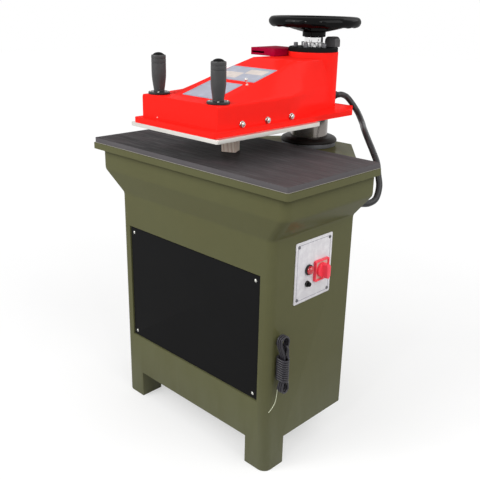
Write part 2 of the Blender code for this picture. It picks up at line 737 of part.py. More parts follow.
def make_housing():
    face = BED_DEPTH - COLUMN_SETBACK + SEAT_GAP
    rear, top = HOUSING_REAR, BAND_TOP
    wide, narrow, tower = HOUSING_FRONT_HALF, HOUSING_REAR_HALF, TOWER_HALF
    head = [(-wide, face), (wide, face), (narrow, rear), (-narrow, rear)]
    foot = [(-tower, face), (tower, face), (narrow, rear), (-narrow, rear)]
    neck = top - HOUSING_TOP_DEPTH
    levels = [at_height(foot, 0)]
    for step in range(FLARE_STEPS + 1):
        share = step / FLARE_STEPS
        outline = [(low[0] + (high[0] - low[0]) * share, low[1]) for low, high in zip(foot, head)]
        levels.append(at_height(outline, neck - HOUSING_TAPER * (1 - share)))
    levels.append(at_height(head, top))
    housing = loft("column_housing", levels, AXIS, GREEN, edge=HOUSING_EDGE)
    bore = drum("housing_bore", HOUSING_BORE, BORE_FLOOR, top + CUT_OVERRUN, AXIS, (0, 0, 0),
                segments=36)
    cut(housing, bore)
    outer, inner = HOUSING_BORE - SEAT_GAP, COLUMN_RADIUS + SEAT_GAP
    rim_low = top + SEAT_GAP
    rim_top = rim_low + BUSH_RIM_HEIGHT
    turned("guide_bush", [(inner, rim_top), (BUSH_RIM_RADIUS * 0.98, rim_top),
                          (BUSH_RIM_RADIUS, rim_top - BUSH_RIM_HEIGHT * 0.2),
                          (BUSH_RIM_RADIUS, rim_low), (outer, rim_low),
                          (outer, top - BUSH_LENGTH), (inner, top - BUSH_LENGTH)],
           AXIS, (0, 0, 0), STEEL, steps=36, ring=True)
    low = rim_top + SEAT_GAP
    turned("column_seal", [(inner, low + SEAL_HEIGHT), (SEAL_LIP_RADIUS, low + SEAL_HEIGHT),
                           (SEAL_RADIUS * 0.86, low + SEAL_HEIGHT * 0.86),
                           (SEAL_RADIUS * 0.97, low + SEAL_HEIGHT * 0.5),
                           (SEAL_RADIUS, low + SEAL_HEIGHT * 0.15), (SEAL_RADIUS, low),
                           (inner, low)], AXIS, (0, 0, 0), RUBBER, steps=36, ring=True)


def make_ram():
    floor = BORE_FLOOR + SEAT_GAP
    outer = HOUSING_BORE - SEAT_GAP
    bore = outer - CYLINDER_WALL
    drum("cylinder_base", outer, floor, floor + CYLINDER_BASE_THICK, AXIS, (0, 0, 0), IRON,
         segments=36)
    low = floor + CYLINDER_BASE_THICK + SEAT_GAP
    high = low + CYLINDER_HEIGHT
    turned("cylinder_tube", [(bore, high), (outer, high), (outer, low), (bore, low)],
           AXIS, (0, 0, 0), STEEL, steps=36, ring=True)
    fit, rod = bore - SEAT_GAP, COLUMN_RADIUS
    turned("cylinder_gland", [(rod + SEAT_GAP, high), (fit, high), (fit, high - GLAND_THICK),
                              (rod + SEAT_GAP, high - GLAND_THICK)],
           AXIS, (0, 0, 0), IRON, steps=36, ring=True)
    piston_top = low + PISTON_THICK
    drum("piston", fit, low + SEAT_GAP, piston_top, AXIS, (0, 0, 0), STEEL, segments=36)
    hole = SPINDLE_BORE
    turned("column", [(hole, COLUMN_TOP), (rod * 0.96, COLUMN_TOP),
                      (rod, COLUMN_TOP - rod * 0.04), (rod, piston_top + SEAT_GAP),
                      (0, piston_top + SEAT_GAP), (0, COLUMN_TOP - SPINDLE_BORE_DEPTH),
                      (hole, COLUMN_TOP - SPINDLE_BORE_DEPTH)],
           AXIS, (0, 0, 0), CHROME, steps=36, ring=True)


SLEEVE_INNER = COLUMN_RADIUS + SEAT_GAP
SLEEVE_OUTER = SLEEVE_INNER + SLEEVE_WALL
ARM_BORE = SLEEVE_OUTER + TURN_GAP


def make_sleeve():
    low = ARM_UNDERSIDE
    turned("swivel_sleeve", [(SLEEVE_INNER, SLEEVE_TOP), (SLEEVE_OUTER, SLEEVE_TOP),
                             (SLEEVE_OUTER, low), (SLEEVE_INNER, low)],
           AXIS, (0, 0, 0), STEEL, steps=48, ring=True)
    bottom = SLEEVE_TOP + SEAT_GAP
    top = bottom + SLEEVE_CAP_THICK
    bore = SPINDLE_RADIUS + TURN_GAP
    turned("sleeve_cap", [(bore, top), (SLEEVE_OUTER, top), (SLEEVE_OUTER, bottom),
                          (bore, bottom)], AXIS, (0, 0, 0), STEEL, steps=48, ring=True)


def arm_ring(back, half, shoulder, spine_half, spine, inset=0.0):
    """One cross-section of the arm: upright flanks, sloping shoulders and a flat spine."""
    low = ARM_UNDERSIDE + (-CUT_OVERRUN if inset else TOUCH_GAP)
    side, crown = half - inset, spine_half - inset * 0.6
    rim, top = shoulder - inset * 0.8, spine - inset
    return [(-side, back, low), (side, back, low), (side, back, rim), (crown, back, top),
            (-crown, back, top), (-side, back, rim)]


def arm_section(reach, inset=0.0):
    """The arm's cross-section at a distance in front of the column axis."""
    nose_back = ARM_FRONT - NOSE_DEPTH
    shoulder = ARM_UNDERSIDE + SHOULDER_HEIGHT
    share = min(1.0, max(0.0, (nose_back - reach) / (nose_back - SPINE_START)))
    spine = NOSE_TOP + (SPINE_TOP - NOSE_TOP) * share
    waist = min(1.0, max(0.0, (ARM_WAIST_START - reach) / ARM_WAIST_START))
    half = ARM_HALF + (BOSS_RADIUS * 0.97 - ARM_HALF) * waist
    crown = SPINE_HALF + (BOSS_RADIUS * 0.80 - SPINE_HALF) * waist
    return arm_ring(-reach, half, shoulder, crown, max(spine, shoulder), inset)


def make_arm():
    nose_back = ARM_FRONT - NOSE_DEPTH
    stations = [ARM_FRONT, nose_back, (nose_back + ARM_WAIST_START) / 2, ARM_WAIST_START,
                SPINE_START, SPINE_START * 0.6, SPINE_START * 0.3, 0]
    casting = loft("arm_casting", [arm_section(reach) for reach in stations], AXIS, RED,
                   edge=ARM_EDGE)
    side = ARM_HALF + FLANGE_SIDE_LIP
    front = ARM_FRONT + FLANGE_FRONT_LIP
    corner = FLANGE_SIDE_LIP / 2
    flange = plate("arm_flange", [[(-side, -front), (side, -front), (side, FLANGE_SIDE_END),
                                   (FLANGE_REAR_HALF, FLANGE_REAR - corner),
                                   (FLANGE_REAR_HALF - corner, FLANGE_REAR),
                                   (-FLANGE_REAR_HALF + corner, FLANGE_REAR),
                                   (-FLANGE_REAR_HALF, FLANGE_REAR - corner),
                                   (-side, FLANGE_SIDE_END)]],
                   FLANGE_THICK, AXIS, (0, 0, ARM_UNDERSIDE + FLANGE_THICK / 2))
    boss = drum("arm_boss", BOSS_RADIUS, ARM_UNDERSIDE + TOUCH_GAP, BOSS_TOP, AXIS, (0, 0, 0),
                segments=48)
    bore = drum("arm_bore", ARM_BORE, ARM_UNDERSIDE - CUT_OVERRUN, BOSS_TOP + CUT_OVERRUN, AXIS,
                (0, 0, 0), segments=48)
    fuse(casting, flange, boss)
    wall, rib = CASTING_WALL, RIB_THICK / 2
    first, last = ARM_FRONT - wall, BOSS_RADIUS + rib
    ribs = [nose_back, ARM_WAIST_START + wall, SPINE_START]
    edges = [first] + [edge for middle in ribs for edge in (middle + rib, middle - rib)] + [last]
    for index in range(0, len(edges), 2):
        start, end = edges[index], edges[index + 1]
        bay = loft("arm_bay_" + str(index // 2),
                   [arm_section(start, wall), arm_section((start + end) / 2, wall),
                    arm_section(end, wall)], AXIS)
        cut(casting, bay)
    cut(casting, bore)


def make_strike_plate():
    half = STRIKE_HALF
    plate("strike_plate", [rounded(-half, half, -STRIKE_FRONT, STRIKE_LENGTH - STRIKE_FRONT,
                                   STRIKE_CORNER, STRIKE_CORNER, 3)],
          STRIKE_THICK - SEAT_GAP, AXIS, (0, 0, ARM_UNDERSIDE - (STRIKE_THICK + SEAT_GAP) / 2),
          ALUMINIUM)


def make_side_bolts():
    """Three washer-faced hexagon bolts along each flank of the arm."""
    washer = drum("side_bolt", BOLT_WASHER_RADIUS, 0, BOLT_WASHER_THICK, AXIS, (0, 0, 0), CHROME,
                  segments=20)
    head = drum("bolt_head", BOLT_HEAD_RADIUS, BOLT_WASHER_THICK / 2,
                BOLT_WASHER_THICK + BOLT_HEAD_THICK, AXIS, (0, 0, 0), segments=6)
    bevel(head, BOLT_HEAD_THICK * 0.12, 1)
    pattern = fuse(washer, head)
    mesh = as_mesh(pattern)
    smooth(mesh)
    bpy.data.objects.remove(pattern, do_unlink=True)
    for side_name, sign, turn in (("right", 1, FACE_RIGHT), ("left", -1, FACE_LEFT)):
        for index in range(3):
            place = (sign * (ARM_HALF + SEAT_GAP), -(BOLT_FIRST - BOLT_PITCH * index),
                     ARM_UNDERSIDE + BOLT_RISE)
            name = "side_bolt_" + side_name + "_" + str(index + 1)
            link(bpy.data.objects.new(name, mesh), AXIS, place, turn, CHROME)


def make_boss_fittings():
    low = BOSS_TOP + SEAT_GAP
    radius, edge = TOP_FLANGE_RADIUS, TOP_FLANGE_EDGE
    bore = SPINDLE_RADIUS + TURN_GAP
    cap = turned("top_flange", [(bore, CAP_TOP), (radius - edge, CAP_TOP),
                                (radius, CAP_TOP - edge), (radius, low), (bore, low)],
                 AXIS, (0, 0, 0), BLACK_PAINT, steps=36, ring=True)
    for index in range(1, 6):
        angle = TOP_SCREW_START + math.radians(60 * index)
        screw = drum("top_screw_" + str(index), TOP_SCREW_RADIUS, CAP_TOP - edge,
                     CAP_TOP + TOP_SCREW_HEIGHT, AXIS,
                     (TOP_SCREW_CIRCLE * math.cos(angle), TOP_SCREW_CIRCLE * math.sin(angle), 0),
                     segments=12)
        fuse(cap, screw)
    notch = LOCK_NOTCH / 2
    outer, inner = LOCK_RING_RADIUS, LOCK_RING_RADIUS - LOCK_NOTCH * 0.6
    outline = []
    for index in range(8):
        turn = math.degrees(math.tau * index / 8)
        gap = math.degrees(notch / outer)
        outline += arc((0, 0), outer, turn + gap, turn + 45 - gap, 4)
        outline += arc((0, 0), inner, turn + 45 - gap, turn + 45 + gap, 1)
    plate("lock_ring", [outline, circle(LOCK_RING_BORE, 24)], LOCK_RING_HEIGHT, AXIS,
          (0, 0, CAP_TOP + SEAT_GAP + LOCK_RING_HEIGHT / 2), STEEL)
    block("limit_switch", (LIMIT_WIDTH, LIMIT_DEPTH, LIMIT_HEIGHT), AXIS,
          (LIMIT_RIGHT, LIMIT_BACK, CAP_TOP + SEAT_GAP + LIMIT_HEIGHT / 2), GREY, edge=LIMIT_ROUND,
          segments=3)


def make_tray():
    """The crimson cable tray beside the boss, open at its slot."""
    low = SPINE_TOP + SEAT_GAP
    left, right = -TRAY_LEFT, -TRAY_LEFT + TRAY_WIDTH
    front, back = -TRAY_FRONT, -TRAY_FRONT + TRAY_DEPTH
    tray = span("junction_tray", (left, front, low), (right, back, low + TRAY_HEIGHT), AXIS,
                CRIMSON)
    wall = TRAY_WALL
    hollow = span("tray_hollow", (left + wall, front + wall, low + wall),
                  (right - wall, back - wall, low + TRAY_HEIGHT - wall), AXIS)
    slot = span("tray_slot", (left + wall * 2, front - CUT_OVERRUN, low + TRAY_HEIGHT * 0.45),
                (left + wall * 2 + TRAY_SLOT_WIDTH, front + wall * 2,
                 low + TRAY_HEIGHT * 0.45 + TRAY_SLOT_HEIGHT), AXIS)
    keep_off = drum("tray_boss_cut", BOSS_RADIUS + SEAT_GAP, low - CUT_OVERRUN,
                    low + TRAY_HEIGHT + CUT_OVERRUN, AXIS, (0, 0, 0), segments=48)
    cut(tray, hollow, slot, keep_off)


def make_grips():
    """The two hand grips on their flanges, each with a domed push button in its top."""
    flange_top = GRIP_FLANGE_THICK + SEAT_GAP
    foot, widest, height = GRIP_FOOT_RADIUS, GRIP_RADIUS, GRIP_HEIGHT
    well, floor = GRIP_WELL_RADIUS, GRIP_HEIGHT - GRIP_WELL_DEPTH
    for side_name, sign in (("left", -1), ("right", 1)):
        base = anchor(side_name + "_grip_axis", sign * GRIP_SPREAD, GRIP_BACK - COLUMN_SETBACK,
                      NOSE_TOP + SEAT_GAP, AXIS)
        radius, thick = GRIP_FLANGE_RADIUS, GRIP_FLANGE_THICK
        turned(side_name + "_grip_flange", [(0, thick), (radius * 0.93, thick),
                                            (radius, thick * 0.75), (radius, 0), (0, 0)],
               base, (0, 0, 0), BLACK, steps=32)
        turned(side_name + "_grip", [
            (well, height), (GRIP_TOP_RADIUS, height), (widest, height * 0.95),
            (widest, height * 0.70), (widest * 0.97, height * 0.50),
            (widest * 0.88, height * 0.32), (foot * 1.08, height * 0.12), (foot, height * 0.04),
            (foot * 1.1, 0), (0, 0), (0, floor), (well, floor)],
               base, (0, 0, flange_top), BLACK, steps=24, ring=True)
        button = anchor(side_name + "_button_axis", 0, 0,
                        flange_top + floor + BUTTON_TRAVEL + SEAT_GAP, base)
        wide, length = BUTTON_RADIUS, BUTTON_LENGTH
        crown = [(wide * math.sin(math.radians(a)),
                  length - BUTTON_DOME * (1 - math.cos(math.radians(a))))
                 for a in (0, 20, 40, 60, 80, 90)]
        turned(side_name + "_button", crown + [(wide, 0), (0, 0)], button, (0, 0, 0), BLACK,
               steps=24)


def make_handwheel():
    """A dished wheel: waved rim, spoked web and hub in one, on its threaded spindle."""
    wheel = anchor("handwheel_axis", 0, 0, WHEEL_HEIGHT, AXIS)
    middle = WHEEL_RADIUS - WHEEL_RIM
    bpy.ops.mesh.primitive_torus_add(major_segments=WHEEL_WAVES * 3, minor_segments=8,
                                     major_radius=middle, minor_radius=WHEEL_RIM)
    rim = bpy.context.active_object
    for point in rim.data.vertices:
        turn = math.atan2(point.co.y, point.co.x)
        under = max(0.0, -point.co.z) / WHEEL_RIM
        point.co.z -= WHEEL_WAVE_DEPTH * under * (1 + math.cos(WHEEL_WAVES * turn)) / 2
    smooth(rim.data)
    mesh = rim.data
    bpy.data.objects.remove(rim, do_unlink=True)
    rim = link(bpy.data.objects.new("handwheel", mesh), wheel, (0, 0, 0), (0, 0, 0), BLACK)
    hub, drop, thick = WHEEL_HUB_RADIUS, WHEEL_HUB_DROP, WHEEL_WEB_THICK
    foot = -drop - WHEEL_HUB_LENGTH
    outer = middle - WHEEL_RIM * 0.55
    web = turned("wheel_web", [
        (0, -drop * 0.25), (hub * 0.8, -drop * 0.3), (hub, -drop + thick),
        (WHEEL_WINDOW_INNER, -drop * 0.62 + thick / 2), (outer, thick * 0.2),
        (outer, -thick), (WHEEL_WINDOW_OUTER, -thick * 1.5),
        (WHEEL_WINDOW_INNER * 1.4, -drop * 0.62), (hub * 1.08, -drop * 1.02), (hub, -drop * 1.1),
        (hub, foot), (0, foot)], wheel, (0, 0, 0), None, steps=36)
    for index in range(WHEEL_SPOKES):
        turn = 90 + 360 * index / WHEEL_SPOKES
        half = WHEEL_WINDOW_DEGREES / 2
        outline = (arc((0, 0), WHEEL_WINDOW_OUTER, turn - half, turn + half, 8)
                   + arc((0, 0), WHEEL_WINDOW_INNER, turn + half * 0.8, turn - half * 0.8, 5))
        window = plate("wheel_window_" + str(index), [outline], drop * 4, wheel, (0, 0, 0))
        cut(web, window)
    fuse(rim, web)
    low = WHEEL_HEIGHT + foot - SEAT_GAP
    bore = SPINDLE_RADIUS + SEAT_GAP
    base = low - COLLAR_HEIGHT
    turned("thrust_collar", [(bore, low), (COLLAR_RADIUS * 0.96, low),
                             (COLLAR_RADIUS, low - COLLAR_HEIGHT * 0.1),
                             (COLLAR_RADIUS, base + COLLAR_HEIGHT * 0.1),
                             (COLLAR_RADIUS * 0.96, base), (bore, base)],
           AXIS, (0, 0, 0), CHROME, steps=32, ring=True)
    drum("spindle", SPINDLE_RADIUS, low - SPINDLE_REACH, low, AXIS, (0, 0, 0), STEEL, segments=24)


# Places of the drive inside the cabinet, from the cabinet's floor
FLOOR = FOOT_HEIGHT + FLOOR_SHEET + SEAT_GAP
TANK_LEFT = -BODY_WIDTH / 2 + SHEET_WALL + TANK_SIDE_ROOM
TANK_FRONT = BODY_SETBACK + FRONT_WALL + TANK_FRONT_ROOM
TANK_REAR = BED_DEPTH - SHEET_WALL - TANK_REAR_ROOM
TANK_CENTRE_X = TANK_LEFT + TANK_WIDTH / 2
TANK_CENTRE_Y = (TANK_FRONT + TANK_REAR) / 2
TANK_TOP = FLOOR + TANK_HEIGHT
VALVE_TOP = TANK_TOP + SEAT_GAP + VALVE_SIZE[2]
PUMP_CENTRE_X = TANK_LEFT + TANK_WIDTH + PUMP_ROOM + PUMP_SIZE[0] / 2
MOTOR_CENTRE_X = PUMP_CENTRE_X + PUMP_SIZE[0] / 2 + SEAT_GAP + MOTOR_LENGTH / 2
MOTOR_AXIS_Z = FLOOR + MOTOR_RADIUS + MOTOR_FIN_HEIGHT * 2
PRESSURE_PIPE_Z = VALVE_TOP + PRESSURE_PIPE_RISE
RETURN_PIPE_Z = VALVE_TOP + RETURN_PIPE_RISE
PIPE_EXIT_X = {"pressure_pipe_hole": PIPE_SPREAD / 2, "return_pipe_hole": -PIPE_SPREAD / 2}


def smooth_route(points, count):
    """Evenly spaced points on a Catmull-Rom curve through a cord's own points."""
    points = [Vector(point) for point in points]
    padded = [points[0] * 2 - points[1]] + points + [points[-1] * 2 - points[-2]]
    fine = []
    for index in range(1, len(padded) - 2):
        a, b, c, d = padded[index - 1:index + 3]
        for step in range(12):
            t = step / 12
            fine.append((b * 2 + (c - a) * t + (a * 2 - b * 5 + c * 4 - d) * t ** 2
                         + (b * 3 - a - c * 3 + d) * t ** 3) / 2)
    fine.append(points[-1])
    places = np.array(fine)
    along = np.concatenate([[0], np.cumsum(np.linalg.norm(np.diff(places, axis=0), axis=1))])
    even = np.linspace(0, along[-1], count)
    return np.column_stack([np.interp(even, along, places[:, axis]) for axis in range(3)])


def make_drive():
    span("oil_tank", (TANK_LEFT, TANK_FRONT, FLOOR), (TANK_LEFT + TANK_WIDTH, TANK_REAR, TANK_TOP),
         FRONT, IRON, edge=TANK_EDGE)
    seat = TANK_TOP + SEAT_GAP
    block("valve_block", VALVE_SIZE, FRONT, (TANK_CENTRE_X, TANK_CENTRE_Y,
                                             seat + VALVE_SIZE[2] / 2), ALUMINIUM, edge=VALVE_EDGE)
    for name, shift, height in (("pressure_pipe", -1, PRESSURE_PIPE_Z),
                                ("return_pipe", 1, RETURN_PIPE_Z)):
        x = TANK_CENTRE_X + shift * VALVE_SIZE[0] / 4
        exit_x = PIPE_EXIT_X[name + "_hole"]
        turn = PIPE_RADIUS * 3
        rear = BED_DEPTH - SEAT_GAP
        route = [(x, TANK_CENTRE_Y, VALVE_TOP + SEAT_GAP), (x, TANK_CENTRE_Y, height - turn * 2),
                 (x, TANK_CENTRE_Y, height - turn), (x + turn * 0.3, TANK_CENTRE_Y, height - turn * 0.3),
                 (x + turn, TANK_CENTRE_Y, height), (x + turn * 2, TANK_CENTRE_Y, height),
                 (exit_x - turn * 2, TANK_CENTRE_Y, height), (exit_x - turn, TANK_CENTRE_Y, height),
                 (exit_x - turn * 0.3, TANK_CENTRE_Y + turn * 0.3, height),
                 (exit_x, TANK_CENTRE_Y + turn, height), (exit_x, TANK_CENTRE_Y + turn * 2, height),
                 (exit_x, rear - turn, height), (exit_x, rear, height)]
        tube(name, route, PIPE_RADIUS, FRONT, STEEL)
    centre = (MOTOR_CENTRE_X, TANK_CENTRE_Y, MOTOR_AXIS_Z)
    outline = []
    for index in range(MOTOR_FINS):
        turn = 360 * index / MOTOR_FINS
        half = 90 / MOTOR_FINS
        outline += arc((0, 0), MOTOR_RADIUS, turn + half, turn + 3 * half, 1)
        outline += arc((0, 0), MOTOR_RADIUS + MOTOR_FIN_HEIGHT, turn + 3 * half, turn + 5 * half, 1)
    motor = plate("pump_motor", [outline], MOTOR_LENGTH, FRONT, centre, MOTOR_BLUE, FACE_RIGHT)
    foot = span("motor_foot", (MOTOR_CENTRE_X - MOTOR_FOOT_WIDTH / 2,
                               TANK_CENTRE_Y - MOTOR_FOOT_DEPTH / 2, FLOOR),
                (MOTOR_CENTRE_X + MOTOR_FOOT_WIDTH / 2, TANK_CENTRE_Y + MOTOR_FOOT_DEPTH / 2,
                 MOTOR_AXIS_Z - MOTOR_RADIUS * 0.5), FRONT)
    fuse(motor, foot)
    block("hydraulic_pump", PUMP_SIZE, FRONT, (PUMP_CENTRE_X, TANK_CENTRE_Y, MOTOR_AXIS_Z), IRON,
          edge=PUMP_EDGE)
    inner = BODY_WIDTH / 2 - SHEET_WALL - SEAT_GAP
    middle = control_place(CONTROL_WIDTH / 2, CONTROL_HEIGHT / 2, 0)
    block("contactor_box", CONTACTOR_SIZE, FRONT, (inner - CONTACTOR_SIZE[0] / 2, middle[1],
                                                   middle[2]), GREY, edge=CONTACTOR_EDGE)


def gland_profile(radius, length, bore):
    return [(bore, length), (radius * 0.75, length), (radius * 0.8, length * 0.6),
            (radius, length * 0.5), (radius, 0), (bore, 0)]


def make_hose():
    """The control hose, from a gland on the boss to a gland on the cabinet's rear."""
    out = Vector((math.cos(HOSE_ARM_ANGLE), math.sin(HOSE_ARM_ANGLE), 0))
    seat = BOSS_RADIUS + SEAT_GAP
    arm_seat = Vector((0, COLUMN_SETBACK, ARM_UNDERSIDE + HOSE_ARM_RISE)) + out * seat
    turned("hose_gland_arm", gland_profile(HOSE_GLAND_RADIUS, HOSE_GLAND_LENGTH, 0)[:-1] + [(0, 0)],
           FRONT, arm_seat, BLACK, (0, math.radians(90), HOSE_ARM_ANGLE), steps=20)
    entry = Vector((HOSE_ENTRY_X, BED_DEPTH + SEAT_GAP, HOSE_ENTRY_Z))
    turned("hose_gland_cabinet",
           gland_profile(HOSE_GLAND_RADIUS, HOSE_GLAND_LENGTH, 0)[:-1] + [(0, 0)],
           FRONT, entry, BLACK, (math.radians(-90), 0, 0), steps=20)
    start = arm_seat + out * (HOSE_GLAND_LENGTH + SEAT_GAP)
    end = entry + Vector((0, HOSE_GLAND_LENGTH + SEAT_GAP, 0))
    stub, lead = HOSE_RADIUS / 3, HOSE_RADIUS * 2
    back = Vector((0, 1, 0))
    route = ([start + out * stub, start + out * lead]
             + [Vector(point) for point in HOSE_ROUTE] + [end + back * lead, end + back * stub])
    line = [tuple(start)] + [tuple(point) for point in smooth_route(route, HOSE_SAMPLES)]
    tube("control_hose", line + [tuple(end)], HOSE_RADIUS, FRONT, RUBBER)


def wrap_point(along, height):
    """A point on the flat-sided ring that the wraps follow, from the front middle rearwards."""
    middle = WRAP_OFF_WALL + WRAP_FLAT + WRAP_ROUND
    quarter, flat = WRAP_ROUND * math.pi / 2, WRAP_FLAT * 2
    left = along % WRAP_LENGTH
    if left < quarter:
        centre, turn, shift = middle + WRAP_FLAT, left / WRAP_ROUND, 0
    elif left < quarter + flat:
        centre, turn, shift = middle + WRAP_FLAT, math.pi / 2, quarter - left
    elif left < quarter * 3 + flat:
        centre, turn, shift = middle - WRAP_FLAT, (left - flat) / WRAP_ROUND, 0
    elif left < quarter * 3 + flat * 2:
        centre, turn, shift = middle - WRAP_FLAT, math.pi * 1.5, left - quarter * 3 - flat
    else:
        centre, turn, shift = middle + WRAP_FLAT, (left - flat * 2) / WRAP_ROUND, 0
    return (centre + shift + WRAP_ROUND * math.cos(turn), WRAP_ROUND * math.sin(turn), height)


def half_gap(height):
    """Half the width of the hank's loops at a height: full at the lobes, drawn in at the waist."""
    top, bottom = HANK_TOP - HANK_TOP_ROUND, HANK_BOTTOM + HANK_BOTTOM_ROUND
    if height > HANK_WAIST_TOP:
        share, full = (height - HANK_WAIST_TOP) / (top - HANK_WAIST_TOP), HANK_TOP_ROUND
    elif height < HANK_WAIST_BOTTOM:
        share, full = (HANK_WAIST_BOTTOM - height) / (HANK_WAIST_BOTTOM - bottom), HANK_BOTTOM_ROUND
    else:
        share, full = 0, HANK_WAIST_HALF
    bulge = (1 - math.cos(math.pi * min(share, 1))) / 2
    return HANK_WAIST_HALF + (full - HANK_WAIST_HALF) * bulge


def hank_line():
    """The cord's centre line: out of the wall, wrapped down the waist, then looped inwards."""
    front = WRAP_OFF_WALL + (WRAP_FLAT + WRAP_ROUND) * 2
    start = GROMMET_HEIGHT + SEAT_GAP * 2
    bend, lead = CORD_EXIT_ROUND, WRAP_LEAD_ROUND
    line = [(start, 0, CORD_EXIT_HEIGHT), (start + CORD_RADIUS * 2, 0, CORD_EXIT_HEIGHT)]
    for step in range(6):
        turn = math.radians(18 * step)
        line.append((front - bend + bend * math.sin(turn), 0,
                     CORD_EXIT_HEIGHT - bend + bend * math.cos(turn)))
    for step in range(5):
        turn = math.radians(18 * step)
        line.append(wrap_point(lead * (1 - math.cos(turn)),
                               HANK_WAIST_TOP + lead * (1 - math.sin(turn))))
    count = HANK_WRAPS * LOOP_POINTS
    for step in range(3, count + 1):
        along = WRAP_LENGTH * step / LOOP_POINTS
        line.append(wrap_point(along, HANK_WAIST_TOP - WRAP_PITCH * (along - lead) / WRAP_LENGTH))
    last = line[-1][2]
    for step in (1, 2, 3, 4):
        turn = math.radians(18 * step)
        line.append(wrap_point(lead * math.sin(turn), last - lead * (1 - math.cos(turn))))
    middle = WRAP_OFF_WALL + WRAP_FLAT + WRAP_ROUND
    layer = middle + CORD_PITCH * (HANK_LOOPS / 2 - 0.75) + CORD_PITCH
    arc_points = LOOP_POINTS // 3
    low, high = HANK_BOTTOM + HANK_BOTTOM_ROUND, HANK_TOP - HANK_TOP_ROUND
    levels = [low + (HANK_WAIST_BOTTOM - low) * share for share in (0.33, 0.67, 1)]
    levels += [HANK_WAIST_TOP + (high - HANK_WAIST_TOP) * share for share in (0, 0.25, 0.5, 0.75)]
    for index in range(HANK_LOOPS):
        for step in range(arc_points + 1):
            turn = math.pi * step / arc_points
            line.append((layer, HANK_BOTTOM_ROUND * math.cos(turn),
                         low - HANK_BOTTOM_ROUND * math.sin(turn)))
        for level in levels:
            climb = (min(level - low, HANK_WAIST_BOTTOM - low) / (HANK_WAIST_BOTTOM - low)
                     + max(level - HANK_WAIST_TOP, 0) / (high - HANK_WAIST_TOP)) * CORD_PITCH / 2
            line.append((layer - climb, -half_gap(level), level))
        layer -= CORD_PITCH
        for step in range(arc_points + 1):
            turn = math.pi * step / arc_points
            line.append((layer, -HANK_TOP_ROUND * math.cos(turn),
                         high + HANK_TOP_ROUND * math.sin(turn)))
        runs = reversed(levels if index < HANK_LOOPS - 1 else levels[2:])
        line += [(layer, half_gap(level), level) for level in runs]
    end = Vector((layer, CORD_END_FORWARD, CORD_END_HEIGHT))
    lean = Vector((0, -math.sin(CORD_END_LEAN), -math.cos(CORD_END_LEAN)))
    first, last = Vector(line[-1]), end - lean * CORD_RADIUS * 2
    pull = (last - first).length / 3
    for step in range(1, 6):
        t = step / 5
        point = (first * (1 - t) ** 3 + (first - Vector((0, 0, pull))) * 3 * t * (1 - t) ** 2
                 + (last - lean * pull) * 3 * t * t * (1 - t) + last * t ** 3)
        line.append(tuple(point))
    return line + [tuple(end)], lean


def least_gap(line, radius):
    """The least gap between stretches of a tube that aren't neighbours along it."""
    corners = np.array(line)
    steps = np.linalg.norm(np.diff(corners, axis=0), axis=1)
    along = np.concatenate([[0], np.cumsum(steps)])
    even = np.arange(0, along[-1], radius / 4)
    points = np.column_stack([np.interp(even, along, corners[:, axis]) for axis in range(3)])
    least = radius * 100
    for index in range(len(points)):
        far = points[index + 28:]
        if len(far):
            least = min(least, float(np.linalg.norm(far - points[index], axis=1).min()))
    return least - radius * 2, float(along[-1])


def make_hank():
    """The spare cord in its hank, the grommet that it leaves and the bare wire at its end."""
    wall = anchor("hank_datum", BODY_WIDTH / 2, BODY_SETBACK + HANK_FORWARD, 0, FRONT)
    radius, height = GROMMET_RADIUS, GROMMET_HEIGHT
    turned("cord_grommet", [(0, height), (radius * 0.8, height), (radius, height * 0.5),
                            (radius, 0), (0, 0)], wall, (SEAT_GAP, 0, CORD_EXIT_HEIGHT), RUBBER,
           FACE_RIGHT, steps=16)
    line, lean = hank_line()
    gap, length = least_gap(line, CORD_RADIUS)
    print("cord_hank: length", round(length, 3), "m, least gap to itself",
          round(gap * 1000, 2), "mm")
    tube("cord_hank", line, CORD_RADIUS, wall, CORD_BLACK, sides=1)
    start = Vector(line[-1]) + lean * SEAT_GAP
    shift = BODY_SETBACK + HANK_FORWARD
    route = [start + lean * EARTH_WIRE_RADIUS * 2] + [
        Vector((x, y - shift, z)) for x, y, z in EARTH_WIRE_ROUTE]
    line = [tuple(start)] + [tuple(point) for point in smooth_route(route, 16)]
    tube("earth_wire", line, EARTH_WIRE_RADIUS, wall, WIRE_PALE)


def main():
    make_table()
    make_cabinet()
    make_front_panel()
    make_controls()
    make_housing()
    make_ram()
    make_sleeve()
    make_arm()
    make_strike_plate()
    make_side_bolts()
    make_boss_fittings()
    make_tray()
    make_grips()
    make_handwheel()
    make_drive()
    make_hose()
    make_hank()


main()
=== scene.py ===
"""A swing arm cutting press: green cabinet, dark cutting bed, red swing arm and black handwheel.

Lengths are in metres. +X is the machine's right, +Y its rear and +Z up, with the origin on the floor.
"""
import math

import bmesh
import bpy
import numpy as np
from mathutils import Matrix, Vector


